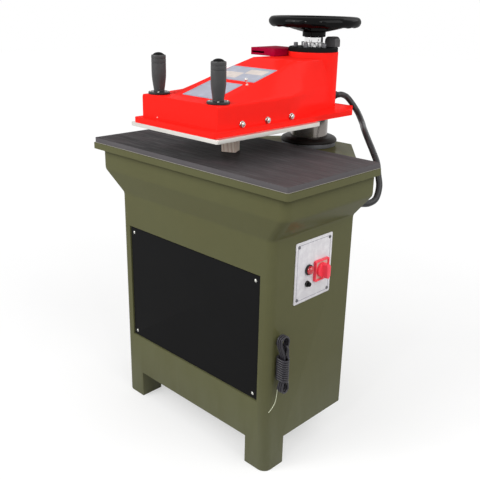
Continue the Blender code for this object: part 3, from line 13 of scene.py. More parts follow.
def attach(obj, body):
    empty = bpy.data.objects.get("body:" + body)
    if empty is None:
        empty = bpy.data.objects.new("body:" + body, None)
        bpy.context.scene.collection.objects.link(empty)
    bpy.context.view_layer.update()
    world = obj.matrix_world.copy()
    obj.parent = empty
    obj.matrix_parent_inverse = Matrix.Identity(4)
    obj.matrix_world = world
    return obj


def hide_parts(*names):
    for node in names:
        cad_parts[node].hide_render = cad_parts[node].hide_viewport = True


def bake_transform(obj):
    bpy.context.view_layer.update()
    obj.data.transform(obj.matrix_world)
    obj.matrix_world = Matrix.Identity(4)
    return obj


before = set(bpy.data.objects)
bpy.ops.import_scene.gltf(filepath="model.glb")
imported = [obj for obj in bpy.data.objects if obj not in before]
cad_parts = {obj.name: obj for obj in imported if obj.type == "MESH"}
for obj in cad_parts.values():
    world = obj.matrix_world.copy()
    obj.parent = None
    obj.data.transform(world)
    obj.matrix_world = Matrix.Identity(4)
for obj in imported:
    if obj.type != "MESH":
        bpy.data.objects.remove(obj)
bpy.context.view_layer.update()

# Sizes that follow the solids
SEAT, TURN_GAP, OVER = 0.0003, 0.0004, 0.004
STRIKE_HALF, STRIKE_FRONT, STRIKE_BACK, STRIKE_THICK = 0.1814, 0.599, 0.1763, 0.0115
WHEEL_HEIGHT, WHEEL_RADIUS, WHEEL_RIM = 1.2565, 0.1465, 0.0150
AXIS_Y = (STRIKE_FRONT - WHEEL_RADIUS) / 2
BED_Y = AXIS_Y - 0.578
BED_WIDTH, BED_DEPTH, BED_THICK = 0.810, 0.398, 0.0160
FOOT_HEIGHT, FOOT_WIDTH, FOOT_DEPTH = 0.0916, 0.0833, 0.0804
BODY_WIDTH, BODY_TOP, BODY_SETBACK = 0.660, 0.7270, 0.0387
BAND_WIDTH, BAND_SETBACK = 0.781, 0.013
TAPER_TOP = BODY_TOP + 0.0717
BAND_TOP = TAPER_TOP + 0.0632
FRONT_CORNER, REAR_CORNER, FOLD = 0.027, 0.008, 0.009
TABLE_THICK, TABLE_LIP, TABLE_CORNER, BED_CORNER = 0.0188, 0.0045, 0.009, 0.006
TABLE_TOP = BAND_TOP + TABLE_THICK
BED_TOP = TABLE_TOP + BED_THICK
WALL, FRONT_WALL, DECK = 0.005, 0.012, 0.006
PANEL_HALF, PANEL_LOW, PANEL_HIGH = 0.289, 0.228, 0.620
PANEL_THICK, PANEL_GAP, PANEL_SCREW_INSET = 0.003, 0.003, 0.016
LEDGE, LEDGE_THICK = 0.018, 0.005
LEDGE_FACE = BED_Y + BODY_SETBACK + FRONT_WALL - LEDGE_THICK
PLATE_FRONT, PLATE_WIDTH, PLATE_LOW, PLATE_HEIGHT, PLATE_THICK = 0.0941, 0.1610, 0.5165, 0.1830, 0.0020
COLUMN_RADIUS, COLUMN_TOP, BORE_RADIUS, BORE_FLOOR = 0.0615, 1.130, 0.0805, 0.100
CYLINDER_FLOOR, PISTON_THICK, SLEEVE_WALL = 0.1124, 0.0400, 0.0063
BUSH_LENGTH, BUSH_RADIUS, BUSH_RISE = 0.160, 0.0900, 0.0140
ARM_LOW, ARM_HALF, ARM_FRONT = 0.9795, 0.1558, 0.5755
STRIKE_LOW = ARM_LOW - STRIKE_THICK
SHOULDER = ARM_LOW + 0.0805
NOSE_BACK = ARM_FRONT - 0.0700
SPINE_HALF, SPINE_TOP, SPINE_START = 0.098, 1.150, 0.193
WAIST_START = 0.285
CAST_WALL, RIB_HALF = 0.012, 0.006
SKIRT_SIDE, SKIRT_FRONT, SKIRT_REAR, SKIRT_THICK = ARM_HALF + 0.0106, ARM_FRONT + 0.0215, 0.0865, 0.0158
BOLT_FIRST, BOLT_PITCH, BOLT_RISE = 0.485, 0.1015, 0.0250
BOSS_RADIUS, BOSS_TOP, CAP_RADIUS = 0.0810, 1.1650, 0.0795
CAP_TOP = BOSS_TOP + 0.0140
GRIP_OUT, GRIP_Y, GRIP_RADIUS, GRIP_LENGTH = 0.122, BED_Y + 0.038, 0.0207, 0.1005
GRIP_BASE, GRIP_MOUTH, GRIP_MOUTH_DEPTH, BUTTON_TRAVEL = 0.0074, 0.0165, 0.0140, 0.0050
HOSE_RADIUS, CORD_RADIUS, WIRE_RADIUS = 0.0098, 0.0031, 0.0010
SIDES = (("left", -1), ("right", 1))


# Materials
def feed(tree, node, values):
    """Sets a node's inputs: values, or other nodes' sockets."""
    for key, value in values.items():
        if isinstance(value, bpy.types.NodeSocket):
            tree.links.new(value, node.inputs[key])
        else:
            node.inputs[key].default_value = value


def add(tree, kind, values=None, **settings):
    """Adds a node, with its settings and its inputs."""
    made = tree.nodes.new("ShaderNode" + kind)
    for key, value in settings.items():
        setattr(made, key, value)
    feed(tree, made, values or {})
    return made


def start_material(name):
    made = bpy.data.materials.new(name)
    made.use_nodes = True
    tree = made.node_tree
    return made, tree, tree.nodes["Principled BSDF"]


def place_coords(tree, scale=(1, 1, 1), turn=(0, 0, 0)):
    """The surface's own coordinates in metres, turned, and stretched by a scale for each axis."""
    where = add(tree, "TexCoord").outputs["Object"]
    return add(tree, "Mapping", {"Vector": where, "Rotation": turn, "Scale": scale}).outputs["Vector"]


def noise(tree, where, scale, detail=3.0, rough=0.55):
    made = add(tree, "TexNoise", {"Vector": where, "Scale": scale, "Detail": detail, "Roughness": rough})
    return made.outputs["Fac"]


def spread(tree, value, low, high, start=0.0, end=1.0, **settings):
    """Maps the values from start to end onto those from low to high."""
    made = add(tree, "MapRange", {"Value": value, "From Min": start, "From Max": end, "To Min": low,
                                  "To Max": high}, **settings)
    return made.outputs["Result"]


def maths(tree, operation, first, second):
    return add(tree, "Math", {0: first, 1: second}, operation=operation).outputs["Value"]


def axis_of(tree, vector, axis):
    return add(tree, "SeparateXYZ", {"Vector": vector}).outputs[axis]


def ramp(tree, value, stops):
    made = add(tree, "ValToRGB", {"Fac": value})
    points = made.color_ramp.elements
    while len(points) < len(stops):
        points.new(0.5)
    for point, (place, colour) in zip(points, stops):
        point.position = place
        point.color = (*colour, 1.0) if hasattr(colour, "__len__") else (colour, colour, colour, 1.0)
    return made.outputs["Color"]


def blend_colours(tree, share, first, second):
    ends = [end if isinstance(end, bpy.types.NodeSocket) else (*end, 1.0) for end in (first, second)]
    return add(tree, "Mix", {0: share, 6: ends[0], 7: ends[1]}, data_type="RGBA").outputs[2]


def shade(colour, factor):
    return tuple(min(1.0, part * factor) for part in colour)


def bump(tree, *layers):
    """Stacks bump layers of (height, strength, depth) into one normal."""
    normal = None
    for height, strength, depth in layers:
        values = {"Height": height, "Strength": strength, "Distance": depth}
        if normal is not None:
            values["Normal"] = normal
        normal = add(tree, "Bump", values).outputs["Normal"]
    return normal


def enamel(name, colour, rough, coat=0.0, mottle=0.06, peel=0.10, grime=0.0, variety=(1.0, 1.0, 1.0)):
    """Sprayed enamel: slow changes of shade, a fine skin, and grime towards the floor."""
    made, tree, shader = start_material(name)
    where = place_coords(tree)
    patchy = noise(tree, where, 34, 3)
    deep = tuple(part * (1 - mottle) * tint for part, tint in zip(colour, variety))
    base = blend_colours(tree, noise(tree, where, 3.5, 4), deep, shade(colour, 1 + mottle))
    speck = ramp(tree, patchy, [(0.30, 0.0), (0.75, 0.22)])
    base = blend_colours(tree, speck, base, shade(colour, 0.86))
    if grime:
        low = spread(tree, axis_of(tree, where, "Z"), 1.0, 0.0, 0.0, 0.30)
        streaks = noise(tree, place_coords(tree, (1, 1, 0.25)), 26, 5)
        share = maths(tree, "MULTIPLY", maths(tree, "MULTIPLY", low, streaks), grime)
        base = blend_colours(tree, share, base, (0.230, 0.240, 0.180))
    waves, skin = noise(tree, where, 9, 2), noise(tree, where, 420, 2)
    feed(tree, shader, {"Base Color": base, "Roughness": spread(tree, patchy, rough - 0.05, rough + 0.07),
                        "Specular IOR Level": 0.0, "Coat Weight": coat, "Coat Roughness": 0.18,
                        "Normal": bump(tree, (waves, 0.12, 0.0012), (skin, peel, 0.0003))})
    return made


def metal(name, colour, rough, stretch=(1, 1, 1), scale=320, stain=0.25, depth=0.0002):
    """Machined metal: fine lines along one way, faint stains and uneven gloss."""
    made, tree, shader = start_material(name)
    lines = noise(tree, place_coords(tree, stretch), scale, 3)
    dark = ramp(tree, noise(tree, place_coords(tree), 22, 5), [(0.35, 0.0), (0.80, stain)])
    feed(tree, shader, {"Base Color": blend_colours(tree, dark, colour, shade(colour, 0.55)), "Metallic": 1.0,
                        "Roughness": spread(tree, lines, rough * 0.7, rough * 1.35),
                        "Normal": bump(tree, (lines, 0.18, depth))})
    return made


def moulded(name, colour, rough, grain=900, depth=0.0002, strength=0.25, coat=0.0, shine=0.3):
    """Moulded plastic or rubber with its fine grain and slight handling marks."""
    made, tree, shader = start_material(name)
    where = place_coords(tree)
    marks = noise(tree, where, 48, 5)
    base = blend_colours(tree, ramp(tree, marks, [(0.45, 0.0), (0.85, 0.6)]), colour, shade(colour, 1.5))
    feed(tree, shader, {"Base Color": base, "Roughness": spread(tree, marks, rough * 0.8, rough * 1.25),
                        "Specular IOR Level": shine, "Coat Weight": coat, "Coat Roughness": 0.06,
                        "Normal": bump(tree, (noise(tree, where, grain, 2), strength, depth))})
    return made


def bed_steel():
    """Oiled dark steel with cloudy violet heat marks, wipe streaks and thin scratches, and painted light: a
    highlight line along its bottom edge, sides lighter than its top, and a reflection brightening its right
    end.
    """
    made, tree, shader = start_material("oiled_bed_steel")
    where = place_coords(tree)
    clouds = noise(tree, place_coords(tree, (1, 2.2, 1)), 7, 6, 0.62)
    streaks = noise(tree, place_coords(tree, (0.35, 5, 1)), 24, 6, 0.65)
    scratches = noise(tree, place_coords(tree, (2, 90, 1)), 6, 4, 0.7)
    # The face's upward slant, used to paint the upright sides lighter than the top as painted light
    upright = axis_of(tree, add(tree, "NewGeometry").outputs["Normal"], "Z")
    base = ramp(tree, clouds, [(0.30, (0.026, 0.025, 0.026)), (0.52, (0.040, 0.036, 0.038)),
                               (0.70, (0.070, 0.053, 0.058)), (0.86, (0.046, 0.043, 0.045))])
    # Painted highlight: a pale line along the bed's bottom edge, just above the table
    foot = spread(tree, axis_of(tree, where, "Z"), 0.85, 0.0, TABLE_TOP + 0.0010, TABLE_TOP + 0.0024)
    for share, colour in (
            (ramp(tree, streaks, [(0.46, 0.0), (0.70, 0.75)]), (0.100, 0.096, 0.098)),
            (ramp(tree, scratches, [(0.70, 0.0), (0.74, 0.5)]), (0.15, 0.145, 0.145)),
            # Painted reflection: the steel lighter towards its right end
            (spread(tree, axis_of(tree, where, "X"), 0.0, 0.45, -0.1, 0.4), (0.105, 0.090, 0.093)),
            # Painted light: upright sides lighter than the top
            (ramp(tree, upright, [(0.30, 0.8), (0.85, 0.0)]), (0.120, 0.112, 0.118)),
            (foot, (0.42, 0.40, 0.36))):
        base = blend_colours(tree, share, base, colour)
    skin = noise(tree, where, 500, 2)
    feed(tree, shader, {"Base Color": base, "Roughness": spread(tree, streaks, 0.40, 0.66),
                        "Specular IOR Level": 0.0, "Coat Weight": 0.12, "Coat Roughness": 0.35,
                        "Normal": bump(tree, (streaks, 0.10, 0.0004), (skin, 0.10, 0.0001))})
    return made


def timber():
    """Sawn softwood with upright grain and darker late-wood lines."""
    made, tree, shader = start_material("sawn_timber")
    where = place_coords(tree, (1, 1, 0.12), (0, 0, math.radians(-26)))
    rings = add(tree, "TexWave", {"Vector": where, "Scale": 58, "Distortion": 3.5, "Detail": 3,
                                  "Detail Scale": 1.4}, wave_type="BANDS", bands_direction="DIAGONAL")
    fibre = noise(tree, where, 420, 4)
    base = ramp(tree, rings.outputs["Fac"], [(0.15, (0.96, 0.82, 0.71)), (0.60, (0.90, 0.73, 0.62)),
                                             (0.92, (0.74, 0.56, 0.46))])
    base = blend_colours(tree, ramp(tree, fibre, [(0.40, 0.0), (0.80, 0.45)]), base, (0.98, 0.88, 0.79))
    feed(tree, shader, {"Base Color": base, "Roughness": 0.78, "Normal": bump(tree, (fibre, 0.35, 0.0004))})
    return made


def glowing_lens():
    """Red lamp glass with small facets inside."""
    made, tree, shader = start_material("lamp_lens_red")
    where = place_coords(tree)
    facets = add(tree, "TexVoronoi", {"Vector": where, "Scale": 420}, feature="F1").outputs["Distance"]
    base = ramp(tree, facets, [(0.10, (0.92, 0.030, 0.050)), (0.60, (0.60, 0.004, 0.014))])
    feed(tree, shader, {"Base Color": base, "Roughness": 0.14, "Transmission Weight": 0.25,
                        "Coat Weight": 0.7, "Normal": bump(tree, (facets, 0.20, 0.0003))})
    return made


GREEN = enamel("green_enamel", (0.107, 0.110, 0.052), 0.42, coat=0.20, mottle=0.07, grime=0.45,
               variety=(1.05, 0.98, 0.88))
RED = enamel("red_enamel", (0.99, 0.020, 0.014), 0.30, coat=0.08, mottle=0.01, peel=0.07)
CRIMSON = enamel("crimson_enamel", (0.34, 0.002, 0.032), 0.34, coat=0.06)
BLACK_PAINT = enamel("black_enamel", (0.0125, 0.0125, 0.0128), 0.34, coat=0.05, mottle=0.10, peel=0.12)
MOTOR_PAINT = enamel("motor_enamel", (0.16, 0.18, 0.20), 0.45)
CHROME = metal("chrome", (0.80, 0.80, 0.80), 0.10, (1, 1, 0.2), 260, 0.12, 0.00008)
GROUND = metal("ground_column", (0.23, 0.21, 0.195), 0.20, (1, 1, 12), 70, 0.30, 0.0001)
STEEL = metal("turned_steel", (0.60, 0.60, 0.60), 0.28, (1, 1, 14), 90)
BRIGHT = metal("bright_zinc", (0.78, 0.77, 0.72), 0.22, stain=0.35)
IRON = metal("cast_iron", (0.17, 0.17, 0.18), 0.55, scale=180, depth=0.0006)
NUT_STEEL = metal("nut_steel", (0.52, 0.52, 0.49), 0.16, stain=0.40)
PLATE_METAL = metal("strike_plate_metal", (0.70, 0.68, 0.64), 0.42, (0.4, 8, 1), 60, 0.22)
GLOSS_BLACK = moulded("gloss_black", (0.0025, 0.0025, 0.0027), 0.14, 300, 0.0001, 0.05, coat=0.20, shine=0.0)
GRIP_BLACK = moulded("grip_black", (0.040, 0.040, 0.041), 0.42, 1100, 0.0003, 0.35)
FLANGE_BLACK = moulded("flange_black", (0.012, 0.012, 0.012), 0.30, 700)
RUBBER = moulded("seal_rubber", (0.011, 0.009, 0.008), 0.40, 500, shine=0.08)
HOSE_BLACK = moulded("hose_rubber", (0.022, 0.022, 0.023), 0.34, 700, 0.0003)
CORD_BLACK = moulded("cord_jacket", (0.024, 0.022, 0.028), 0.30, 600)
SWITCH_GREY = moulded("switch_grey", (0.082, 0.078, 0.080), 0.46, 900, 0.0003)
PLATE_WHITE = moulded("white_plate", (0.70, 0.68, 0.71), 0.38, 300, 0.0001, 0.08)
LABEL_GREY = moulded("label_grey", (0.33, 0.345, 0.42), 0.36, 300, 0.0001, 0.05)
LABEL_WHITE = moulded("label_white", (0.58, 0.51, 0.47), 0.40, 300, 0.0001, 0.05)
LABEL_LINE = moulded("label_line", (0.16, 0.16, 0.22), 0.45, 300, 0.0001, 0.05)
SWITCH_RED = moulded("switch_red", (0.99, 0.060, 0.095), 0.30, 900, 0.0001, 0.12)
SWITCH_FACE = moulded("switch_face", (0.66, 0.46, 0.40), 0.38, 500, 0.0001, 0.10)
WIRE_PALE = moulded("wire_pale", (0.56, 0.58, 0.42), 0.42, 800)
BED_STEEL = bed_steel()
TIMBER = timber()
LENS = glowing_lens()


# Places
def at(x, y, z, turn=None):
    place = Matrix.Translation((x, y, z))
    return place @ turn if turn is not None else place


def turned(degrees, axis):
    return Matrix.Rotation(math.radians(degrees), 4, axis)


RIGHTWARD, FORWARD, BACKWARD = turned(90, "Y"), turned(90, "X"), turned(-90, "X")
ON_AXIS = at(0, AXIS_Y, 0)


# Pieces
def loose(name, shape):
    """A bare object of a bmesh, for work before it is dressed."""
    bmesh.ops.recalc_face_normals(shape, faces=shape.faces)
    mesh = bpy.data.meshes.new(name)
    shape.to_mesh(mesh)
    shape.free()
    piece = bpy.data.objects.new(name, mesh)
    bpy.context.scene.collection.objects.link(piece)
    return piece


def dress(piece, look, body, replaced=None, crease=32, matrix=None):
    """Moves a piece to its place, shades it smooth up to its creases, and fixes it to a body."""
    if matrix is not None:
        piece.data.transform(matrix)
    if piece.type == "MESH":
        piece.data.shade_smooth()
        piece.data.set_sharp_from_angle(angle=math.radians(crease))
    piece.data.materials.clear()
    piece.data.materials.append(look)
    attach(piece, body)
    if replaced:
        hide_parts(replaced)


def finish_piece(name, shape, look, body, replaced=None, crease=32, matrix=None):
    dress(loose(name, shape), look, body, replaced, crease, matrix)


def solid(piece):
    """Applies a piece's modifiers to its mesh."""
    bpy.context.view_layer.update()
    graph = bpy.context.evaluated_depsgraph_get()
    mesh = bpy.data.meshes.new_from_object(piece.evaluated_get(graph))
    piece.modifiers.clear()
    piece.data = mesh


def combine(piece, shape, operation):
    """Adds a shape to a piece, or cuts it out."""
    other = loose("tool", shape)
    change = piece.modifiers.new("combine", "BOOLEAN")
    change.operation = operation
    change.solver = "EXACT"
    change.object = other
    solid(piece)
    bpy.data.objects.remove(other, do_unlink=True)


def join(piece, shapes):
    for shape in shapes:
        combine(piece, shape, "UNION")


def round_edges(piece, width):
    change = piece.modifiers.new("edges", "BEVEL")
    change.width = width
    change.segments = 2
    change.limit_method = "ANGLE"
    change.angle_limit = math.radians(40)
    change.harden_normals = False
    solid(piece)


def carve(piece, cutters, edge=0.0):
    """Cuts shapes out of a piece, and rounds the hard edges over."""
    for shape in cutters:
        combine(piece, shape, "DIFFERENCE")
    if edge:
        round_edges(piece, edge)


# Outlines
def round_corner(before, here, after, reach, steps):
    """Points on a curve that cuts a corner, starting and ending at most a reach away from it."""
    a, b = before - here, after - here
    first = here + a.normalized() * min(reach, a.length * 0.45)
    last = here + b.normalized() * min(reach, b.length * 0.45)
    return [first * (1 - t) ** 2 + here * 2 * t * (1 - t) + last * t * t
            for t in (step / steps for step in range(steps + 1))]


def softened(points, radius, steps=3, closed=False):
    """A profile with its corners rounded over by at most the given radius."""
    made = []
    count = len(points)
    for index in range(count):
        before, here, after = (Vector(points[(index + shift) % count]) for shift in (-1, 0, 1))
        a, b = before - here, after - here
        end = not closed and index in (0, count - 1)
        if end or min(a.length, b.length) < 1e-7 or math.pi - a.angle(b) < math.radians(12):
            made.append(tuple(here))
            continue
        reach = min(radius * math.tan((math.pi - a.angle(b)) / 2), a.length * 0.45, b.length * 0.45)
        made += [tuple(place) for place in round_corner(before, here, after, reach, steps)]
    return made


def arc(centre, radius, start, end, steps):
    angles = [math.radians(start + (end - start) * step / steps) for step in range(steps + 1)]
    return [(centre[0] + radius * math.cos(a), centre[1] + radius * math.sin(a)) for a in angles]


def rounded(left, right, front, back, front_round, back_round, steps=10):
    return (arc((right - front_round, front + front_round), front_round, -90, 0, steps)
            + arc((right - back_round, back - back_round), back_round, 0, 90, steps)
            + arc((left + back_round, back - back_round), back_round, 90, 180, steps)
            + arc((left + front_round, front + front_round), front_round, 180, 270, steps))


def centred(half_x, half_y, corner, steps):
    """A rectangle about the origin with rounded corners."""
    return rounded(-half_x, half_x, -half_y, half_y, corner, corner, steps)


def domed(radius, top, rise, steps, foot=0.0):
    """The profile of a button: a dome, then a straight side down to its foot."""
    turns = [math.pi / 2 * step / steps for step in range(steps + 1)]
    dome = [(radius * math.sin(turn), top - rise * (1 - math.cos(turn))) for turn in turns]
    return dome + [(radius, foot), (0, foot)]


# Shapes
def bridge(shape, loops):
    """Faces between each ring of vertices and the next."""
    for lower, upper in zip(loops, loops[1:]):
        for k in range(len(lower)):
            after = (k + 1) % len(lower)
            shape.faces.new((lower[k], lower[after], upper[after], upper[k]))


def lofted(rings):
    """A solid through rings of points, closed at both ends."""
    shape = bmesh.new()
    loops = [[shape.verts.new(point) for point in ring] for ring in rings]
    bridge(shape, loops)
    shape.faces.new(list(reversed(loops[0])))
    shape.faces.new(loops[-1])
    return shape


def revolved(profile, steps=96, closed=False):
    """A turned skin round Z from (radius, height) points; ends at radius 0 close to a point."""
    shape = bmesh.new()
    turns = [math.tau * k / steps for k in range(steps)]
    rows = []
    for radius, height in profile:
        around = turns if radius >= 1e-6 else turns[:1]
        rows.append([shape.verts.new((radius * math.cos(turn), radius * math.sin(turn), height))
                     for turn in around])
    for upper, lower in zip(rows, rows[1:] + (rows[:1] if closed else [])):
        for k in range(steps):
            after = (k + 1) % steps
            if len(upper) == 1 and len(lower) > 1:
                shape.faces.new((upper[0], lower[after], lower[k]))
            elif len(lower) == 1 and len(upper) > 1:
                shape.faces.new((upper[k], upper[after], lower[0]))
            elif len(upper) > 1:
                shape.faces.new((upper[k], upper[after], lower[after], lower[k]))
    return shape


def bevelled(shape, edges, width, steps, profile=0.5):
    """Bevels edges: a profile of 0.5 rounds them over, and 0 steps them inwards."""
    bmesh.ops.bevel(shape, geom=edges, offset=width, segments=steps, profile=profile, affect="EDGES")
    return shape


def slab(outline, low, high, edge, steps=3):
    """An upright prism with its top and bottom edges rounded over."""
    shape = lofted([[(x, y, z) for x, y in outline] for z in (low, high)])
    if edge:
        rims = [e for e in shape.edges if abs(e.verts[0].co.z - e.verts[1].co.z) < 1e-6]
        bevelled(shape, rims, edge, steps)
    return shape


def column_bore(radius, low, high, facets=72):
    """A round cutter on the column's axis."""
    return slab(arc((0, AXIS_Y), radius, 0, 360 - 360 / facets, facets - 1), low, high, 0)


def box_shape(low, high):
    shape = bmesh.new()
    low, high = Vector(low), Vector(high)
    bmesh.ops.create_cube(shape, size=1)
    bmesh.ops.scale(shape, vec=high - low, verts=shape.verts)
    bmesh.ops.translate(shape, vec=(high + low) / 2, verts=shape.verts)
    return shape


def centred_box(*sizes):
    half = Vector(sizes) / 2
    return box_shape(-half, half)


def peg(radius, length, sides, middle=0.0):
    """An upright prism about Z, with its middle at a height."""
    shape = bmesh.new()
    bmesh.ops.create_cone(shape, cap_ends=True, segments=sides, radius1=radius, radius2=radius, depth=length)
    bmesh.ops.translate(shape, vec=(0, 0, middle), verts=shape.verts)
    return shape


def thin_frame(half_x, half_y, width, height):
    """A raised line round a rectangle, as a flat ring."""
    shape = bmesh.new()
    loops = []
    for inset, z in ((0.0, 0.0), (0.0, height), (width, height), (width, 0.0)):
        outline = centred(half_x - inset, half_y - inset, 0.0025, 4)
        loops.append([shape.verts.new((x, y, z)) for x, y in outline])
    bridge(shape, loops + loops[:1])
    return shape


def screw(name, radius, matrix, body, look, replaced=None):
    """A cross-head screw with a domed head on a thin washer."""
    head = ((0, 0.62), (0.35, 0.60), (0.68, 0.48), (0.86, 0.28), (0.88, 0.12), (1, 0.10), (1, 0), (0, 0))
    piece = loose(name, revolved([(radius * across, radius * up) for across, up in head], 32))
    bar, reach, depth = radius * 0.11, radius * 0.52, radius * 0.42
    carve(piece, [box_shape((-reach, -bar, depth), (reach, bar, radius)),
                  box_shape((-bar, -reach, depth), (bar, reach, radius))])
    dress(piece, look, body, replaced, 30, matrix)


def smooth_line(points, spacing):
    """Evenly spaced points on a Catmull-Rom curve through the given points."""
    points = [Vector(point) for point in points]
    padded = [points[0] * 2 - points[1]] + points + [points[-1] * 2 - points[-2]]
    fine = []
    for index in range(1, len(padded) - 2):
        a, b, c, d = padded[index - 1:index + 3]
        for t in (step / 12 for step in range(12)):
            fine.append((b * 2 + (c - a) * t + (a * 2 - b * 5 + c * 4 - d) * t ** 2
                         + (b * 3 - a - c * 3 + d) * t ** 3) / 2)
    places = np.array(fine + [points[-1]])
    along = np.concatenate([[0], np.cumsum(np.linalg.norm(np.diff(places, axis=0), axis=1))])
    even = np.linspace(0, along[-1], max(2, int(round(along[-1] / spacing))))
    return np.column_stack([np.interp(even, along, places[:, axis]) for axis in range(3)])


def pipe(points, radius, around):
    """A round tube with closed ends along a line of points, without twist."""
    points = np.array(points, float)
    tangents = np.gradient(points, axis=0)
    tangents /= np.linalg.norm(tangents, axis=1)[:, None]
    side = np.cross(tangents[0], (0.0, 0.0, 1.0))
    if np.linalg.norm(side) < 0.1:
        side = np.cross(tangents[0], (1.0, 0.0, 0.0))
    turns = [math.tau * k / around for k in range(around)]
    rings = []
    for point, tangent in zip(points, tangents):
        side = side - tangent * side.dot(tangent)
        side = side / np.linalg.norm(side)
        other = np.cross(tangent, side)
        rings.append([tuple(point + radius * (math.cos(a) * side + math.sin(a) * other)) for a in turns])
    return lofted(rings)


def lay_cord(name, points, radius, look, slot, node, **facts):
    """A thin round cord along points, fixed to the cabinet; the facts it is given are not used."""
    data = bpy.data.curves.new(name, "CURVE")
    data.dimensions = "3D"
    data.bevel_depth = radius
    data.bevel_resolution = 4
    data.use_fill_caps = True
    spline = data.splines.new("POLY")
    spline.points.add(len(points) - 1)
    for point, place in zip(spline.points, points):
        point.co = (*place, 1)
    spline.use_smooth = True
    piece = bpy.data.objects.new(name, data)
    bpy.context.scene.collection.objects.link(piece)
    dress(piece, look, "frame", node)


# Cabinet
def cabinet_ring(width, front, height, wall=0.0, front_wall=0.0):
    half = width / 2 - wall
    outline = rounded(-half, half, BED_Y + front + front_wall, BED_Y + BED_DEPTH - wall, FRONT_CORNER - wall,
                      REAR_CORNER - wall)
    return [(x, y, height) for x, y in outline]


def folded_levels():
    """The cabinet's levels from foot to band, with each fold of the sheet rounded."""
    corners = [Vector(level) for level in (
        (BODY_WIDTH, BODY_SETBACK, 0.0), (BODY_WIDTH, BODY_SETBACK, BODY_TOP),
        (BAND_WIDTH, BAND_SETBACK, TAPER_TOP), (BAND_WIDTH, BAND_SETBACK, BAND_TOP))]
    levels = [corners[0]]
    for index in (1, 2):
        levels += round_corner(corners[index - 1], corners[index], corners[index + 1], FOLD, 4)
    return levels + [corners[3]]


def make_cabinet():
    """The hollow sheet cabinet on its front feet, with the front panel's recess and opening."""
    body = loose("cabinet_shell", lofted([cabinet_ring(*level) for level in folded_levels()]))
    inside = ((BODY_WIDTH, BODY_SETBACK, FOOT_HEIGHT + WALL), (BODY_WIDTH, BODY_SETBACK, BODY_TOP),
              (BAND_WIDTH, BAND_SETBACK, TAPER_TOP), (BAND_WIDTH, BAND_SETBACK, BAND_TOP - DECK))
    inner = BODY_WIDTH / 2 - FOOT_WIDTH
    front, rear = BED_Y + BODY_SETBACK, BED_Y + BED_DEPTH + OVER
    carve(body, [lofted([cabinet_ring(*level, WALL, FRONT_WALL) for level in inside]),
                 box_shape((-inner, front - OVER, -OVER), (inner, rear, FOOT_HEIGHT)),
                 box_shape((-BAND_WIDTH / 2, front + FOOT_DEPTH, -OVER), (BAND_WIDTH / 2, rear, FOOT_HEIGHT)),
                 box_shape((-PANEL_HALF, front - OVER, PANEL_LOW), (PANEL_HALF, LEDGE_FACE, PANEL_HIGH)),
                 box_shape((LEDGE - PANEL_HALF, LEDGE_FACE - OVER, PANEL_LOW + LEDGE),
                           (PANEL_HALF - LEDGE, LEDGE_FACE + 0.02, PANEL_HIGH - LEDGE))], 0.0014)
    dress(body, GREEN, "frame", "cabinet_body", 30)


def make_panel():
    """The front panel on its ledge, with a screw in each corner."""
    face = LEDGE_FACE - SEAT
    half, low, high = PANEL_HALF - PANEL_GAP, PANEL_LOW + PANEL_GAP, PANEL_HIGH - PANEL_GAP
    sheet = slab(rounded(-half, half, low, high, 0.002, 0.002, 4), 0, PANEL_THICK, 0.0008)
    finish_piece("front_panel_sheet", sheet, BLACK_PAINT, "frame", "front_panel",
                 matrix=at(0, face, 0, FORWARD))
    for row, height in (("lower", low + PANEL_SCREW_INSET), ("upper", high - PANEL_SCREW_INSET)):
        for side, sign in SIDES:
            place = at(sign * (half - PANEL_SCREW_INSET), face - PANEL_THICK - SEAT, height, FORWARD)
            screw("panel_fixing_" + row + "_" + side, 0.0050, place, "frame", NUT_STEEL,
                  "panel_screw_" + row + "_" + side)


def make_table():
    """The green table plate and the dark cutting bed on it."""
    half, lip, front, rear = BED_WIDTH / 2, TABLE_LIP, BED_Y, BED_Y + BED_DEPTH
    plate = slab(rounded(-half - lip, half + lip, front - lip, rear, TABLE_CORNER, BED_CORNER),
                 BAND_TOP + SEAT, TABLE_TOP, 0.0013)
    finish_piece("table_slab", plate, GREEN, "frame", "table_plate", 30)
    bed = slab(rounded(-half, half, front, rear, BED_CORNER, BED_CORNER), TABLE_TOP + SEAT, BED_TOP, 0.0012)
    finish_piece("bed_slab", bed, BED_STEEL, "frame", "cutting_bed", 30)


def make_block():
    """The timber block, set askew between the bed and the strike plate."""
    width, depth, right, back, askew = 0.0435, 0.0395, 0.0224, 0.1851, 26
    block = centred_box(width, depth, STRIKE_LOW - BED_TOP - SEAT * 2)
    bevelled(block, block.edges[:], 0.0011, 2, 0)
    finish_piece("timber_block", block, TIMBER, "frame", "wood_block",
                 matrix=at(right, BED_Y + back, (BED_TOP + STRIKE_LOW) / 2, turned(askew, "Z")))


# Controls
def on_plate(forward, drop, out=SEAT):
    """A place on the control plate, from its front upper corner."""
    return at(BODY_WIDTH / 2 + SEAT + PLATE_THICK + out, BED_Y + BODY_SETBACK + PLATE_FRONT + forward,
              PLATE_LOW + PLATE_HEIGHT - drop, RIGHTWARD)


def make_control_plate():
    """The white plate on the cabinet's side with its border line and four screws."""
    high, wide, margin, inset = PLATE_HEIGHT / 2, PLATE_WIDTH / 2, 0.0085, 0.0125
    plate = slab(centred(high, wide, 0.004, 5), -PLATE_THICK, 0, 0.0004, 2)
    finish_piece("control_face", plate, PLATE_WHITE, "frame", "control_plate",
                 matrix=on_plate(wide, high, 0))
    finish_piece("control_border", thin_frame(high - margin, wide - margin, 0.0009, 0.00025), LABEL_LINE,
                 "frame", matrix=on_plate(wide, high, 0.00002))
    corners = [(forward, drop) for drop in (inset, PLATE_HEIGHT - inset)
               for forward in (inset, PLATE_WIDTH - inset)]
    for name, (forward, drop) in zip("abcd", corners):
        screw("control_fixing_" + name, 0.0050, on_plate(forward, drop, 0.0001), "frame", IRON)


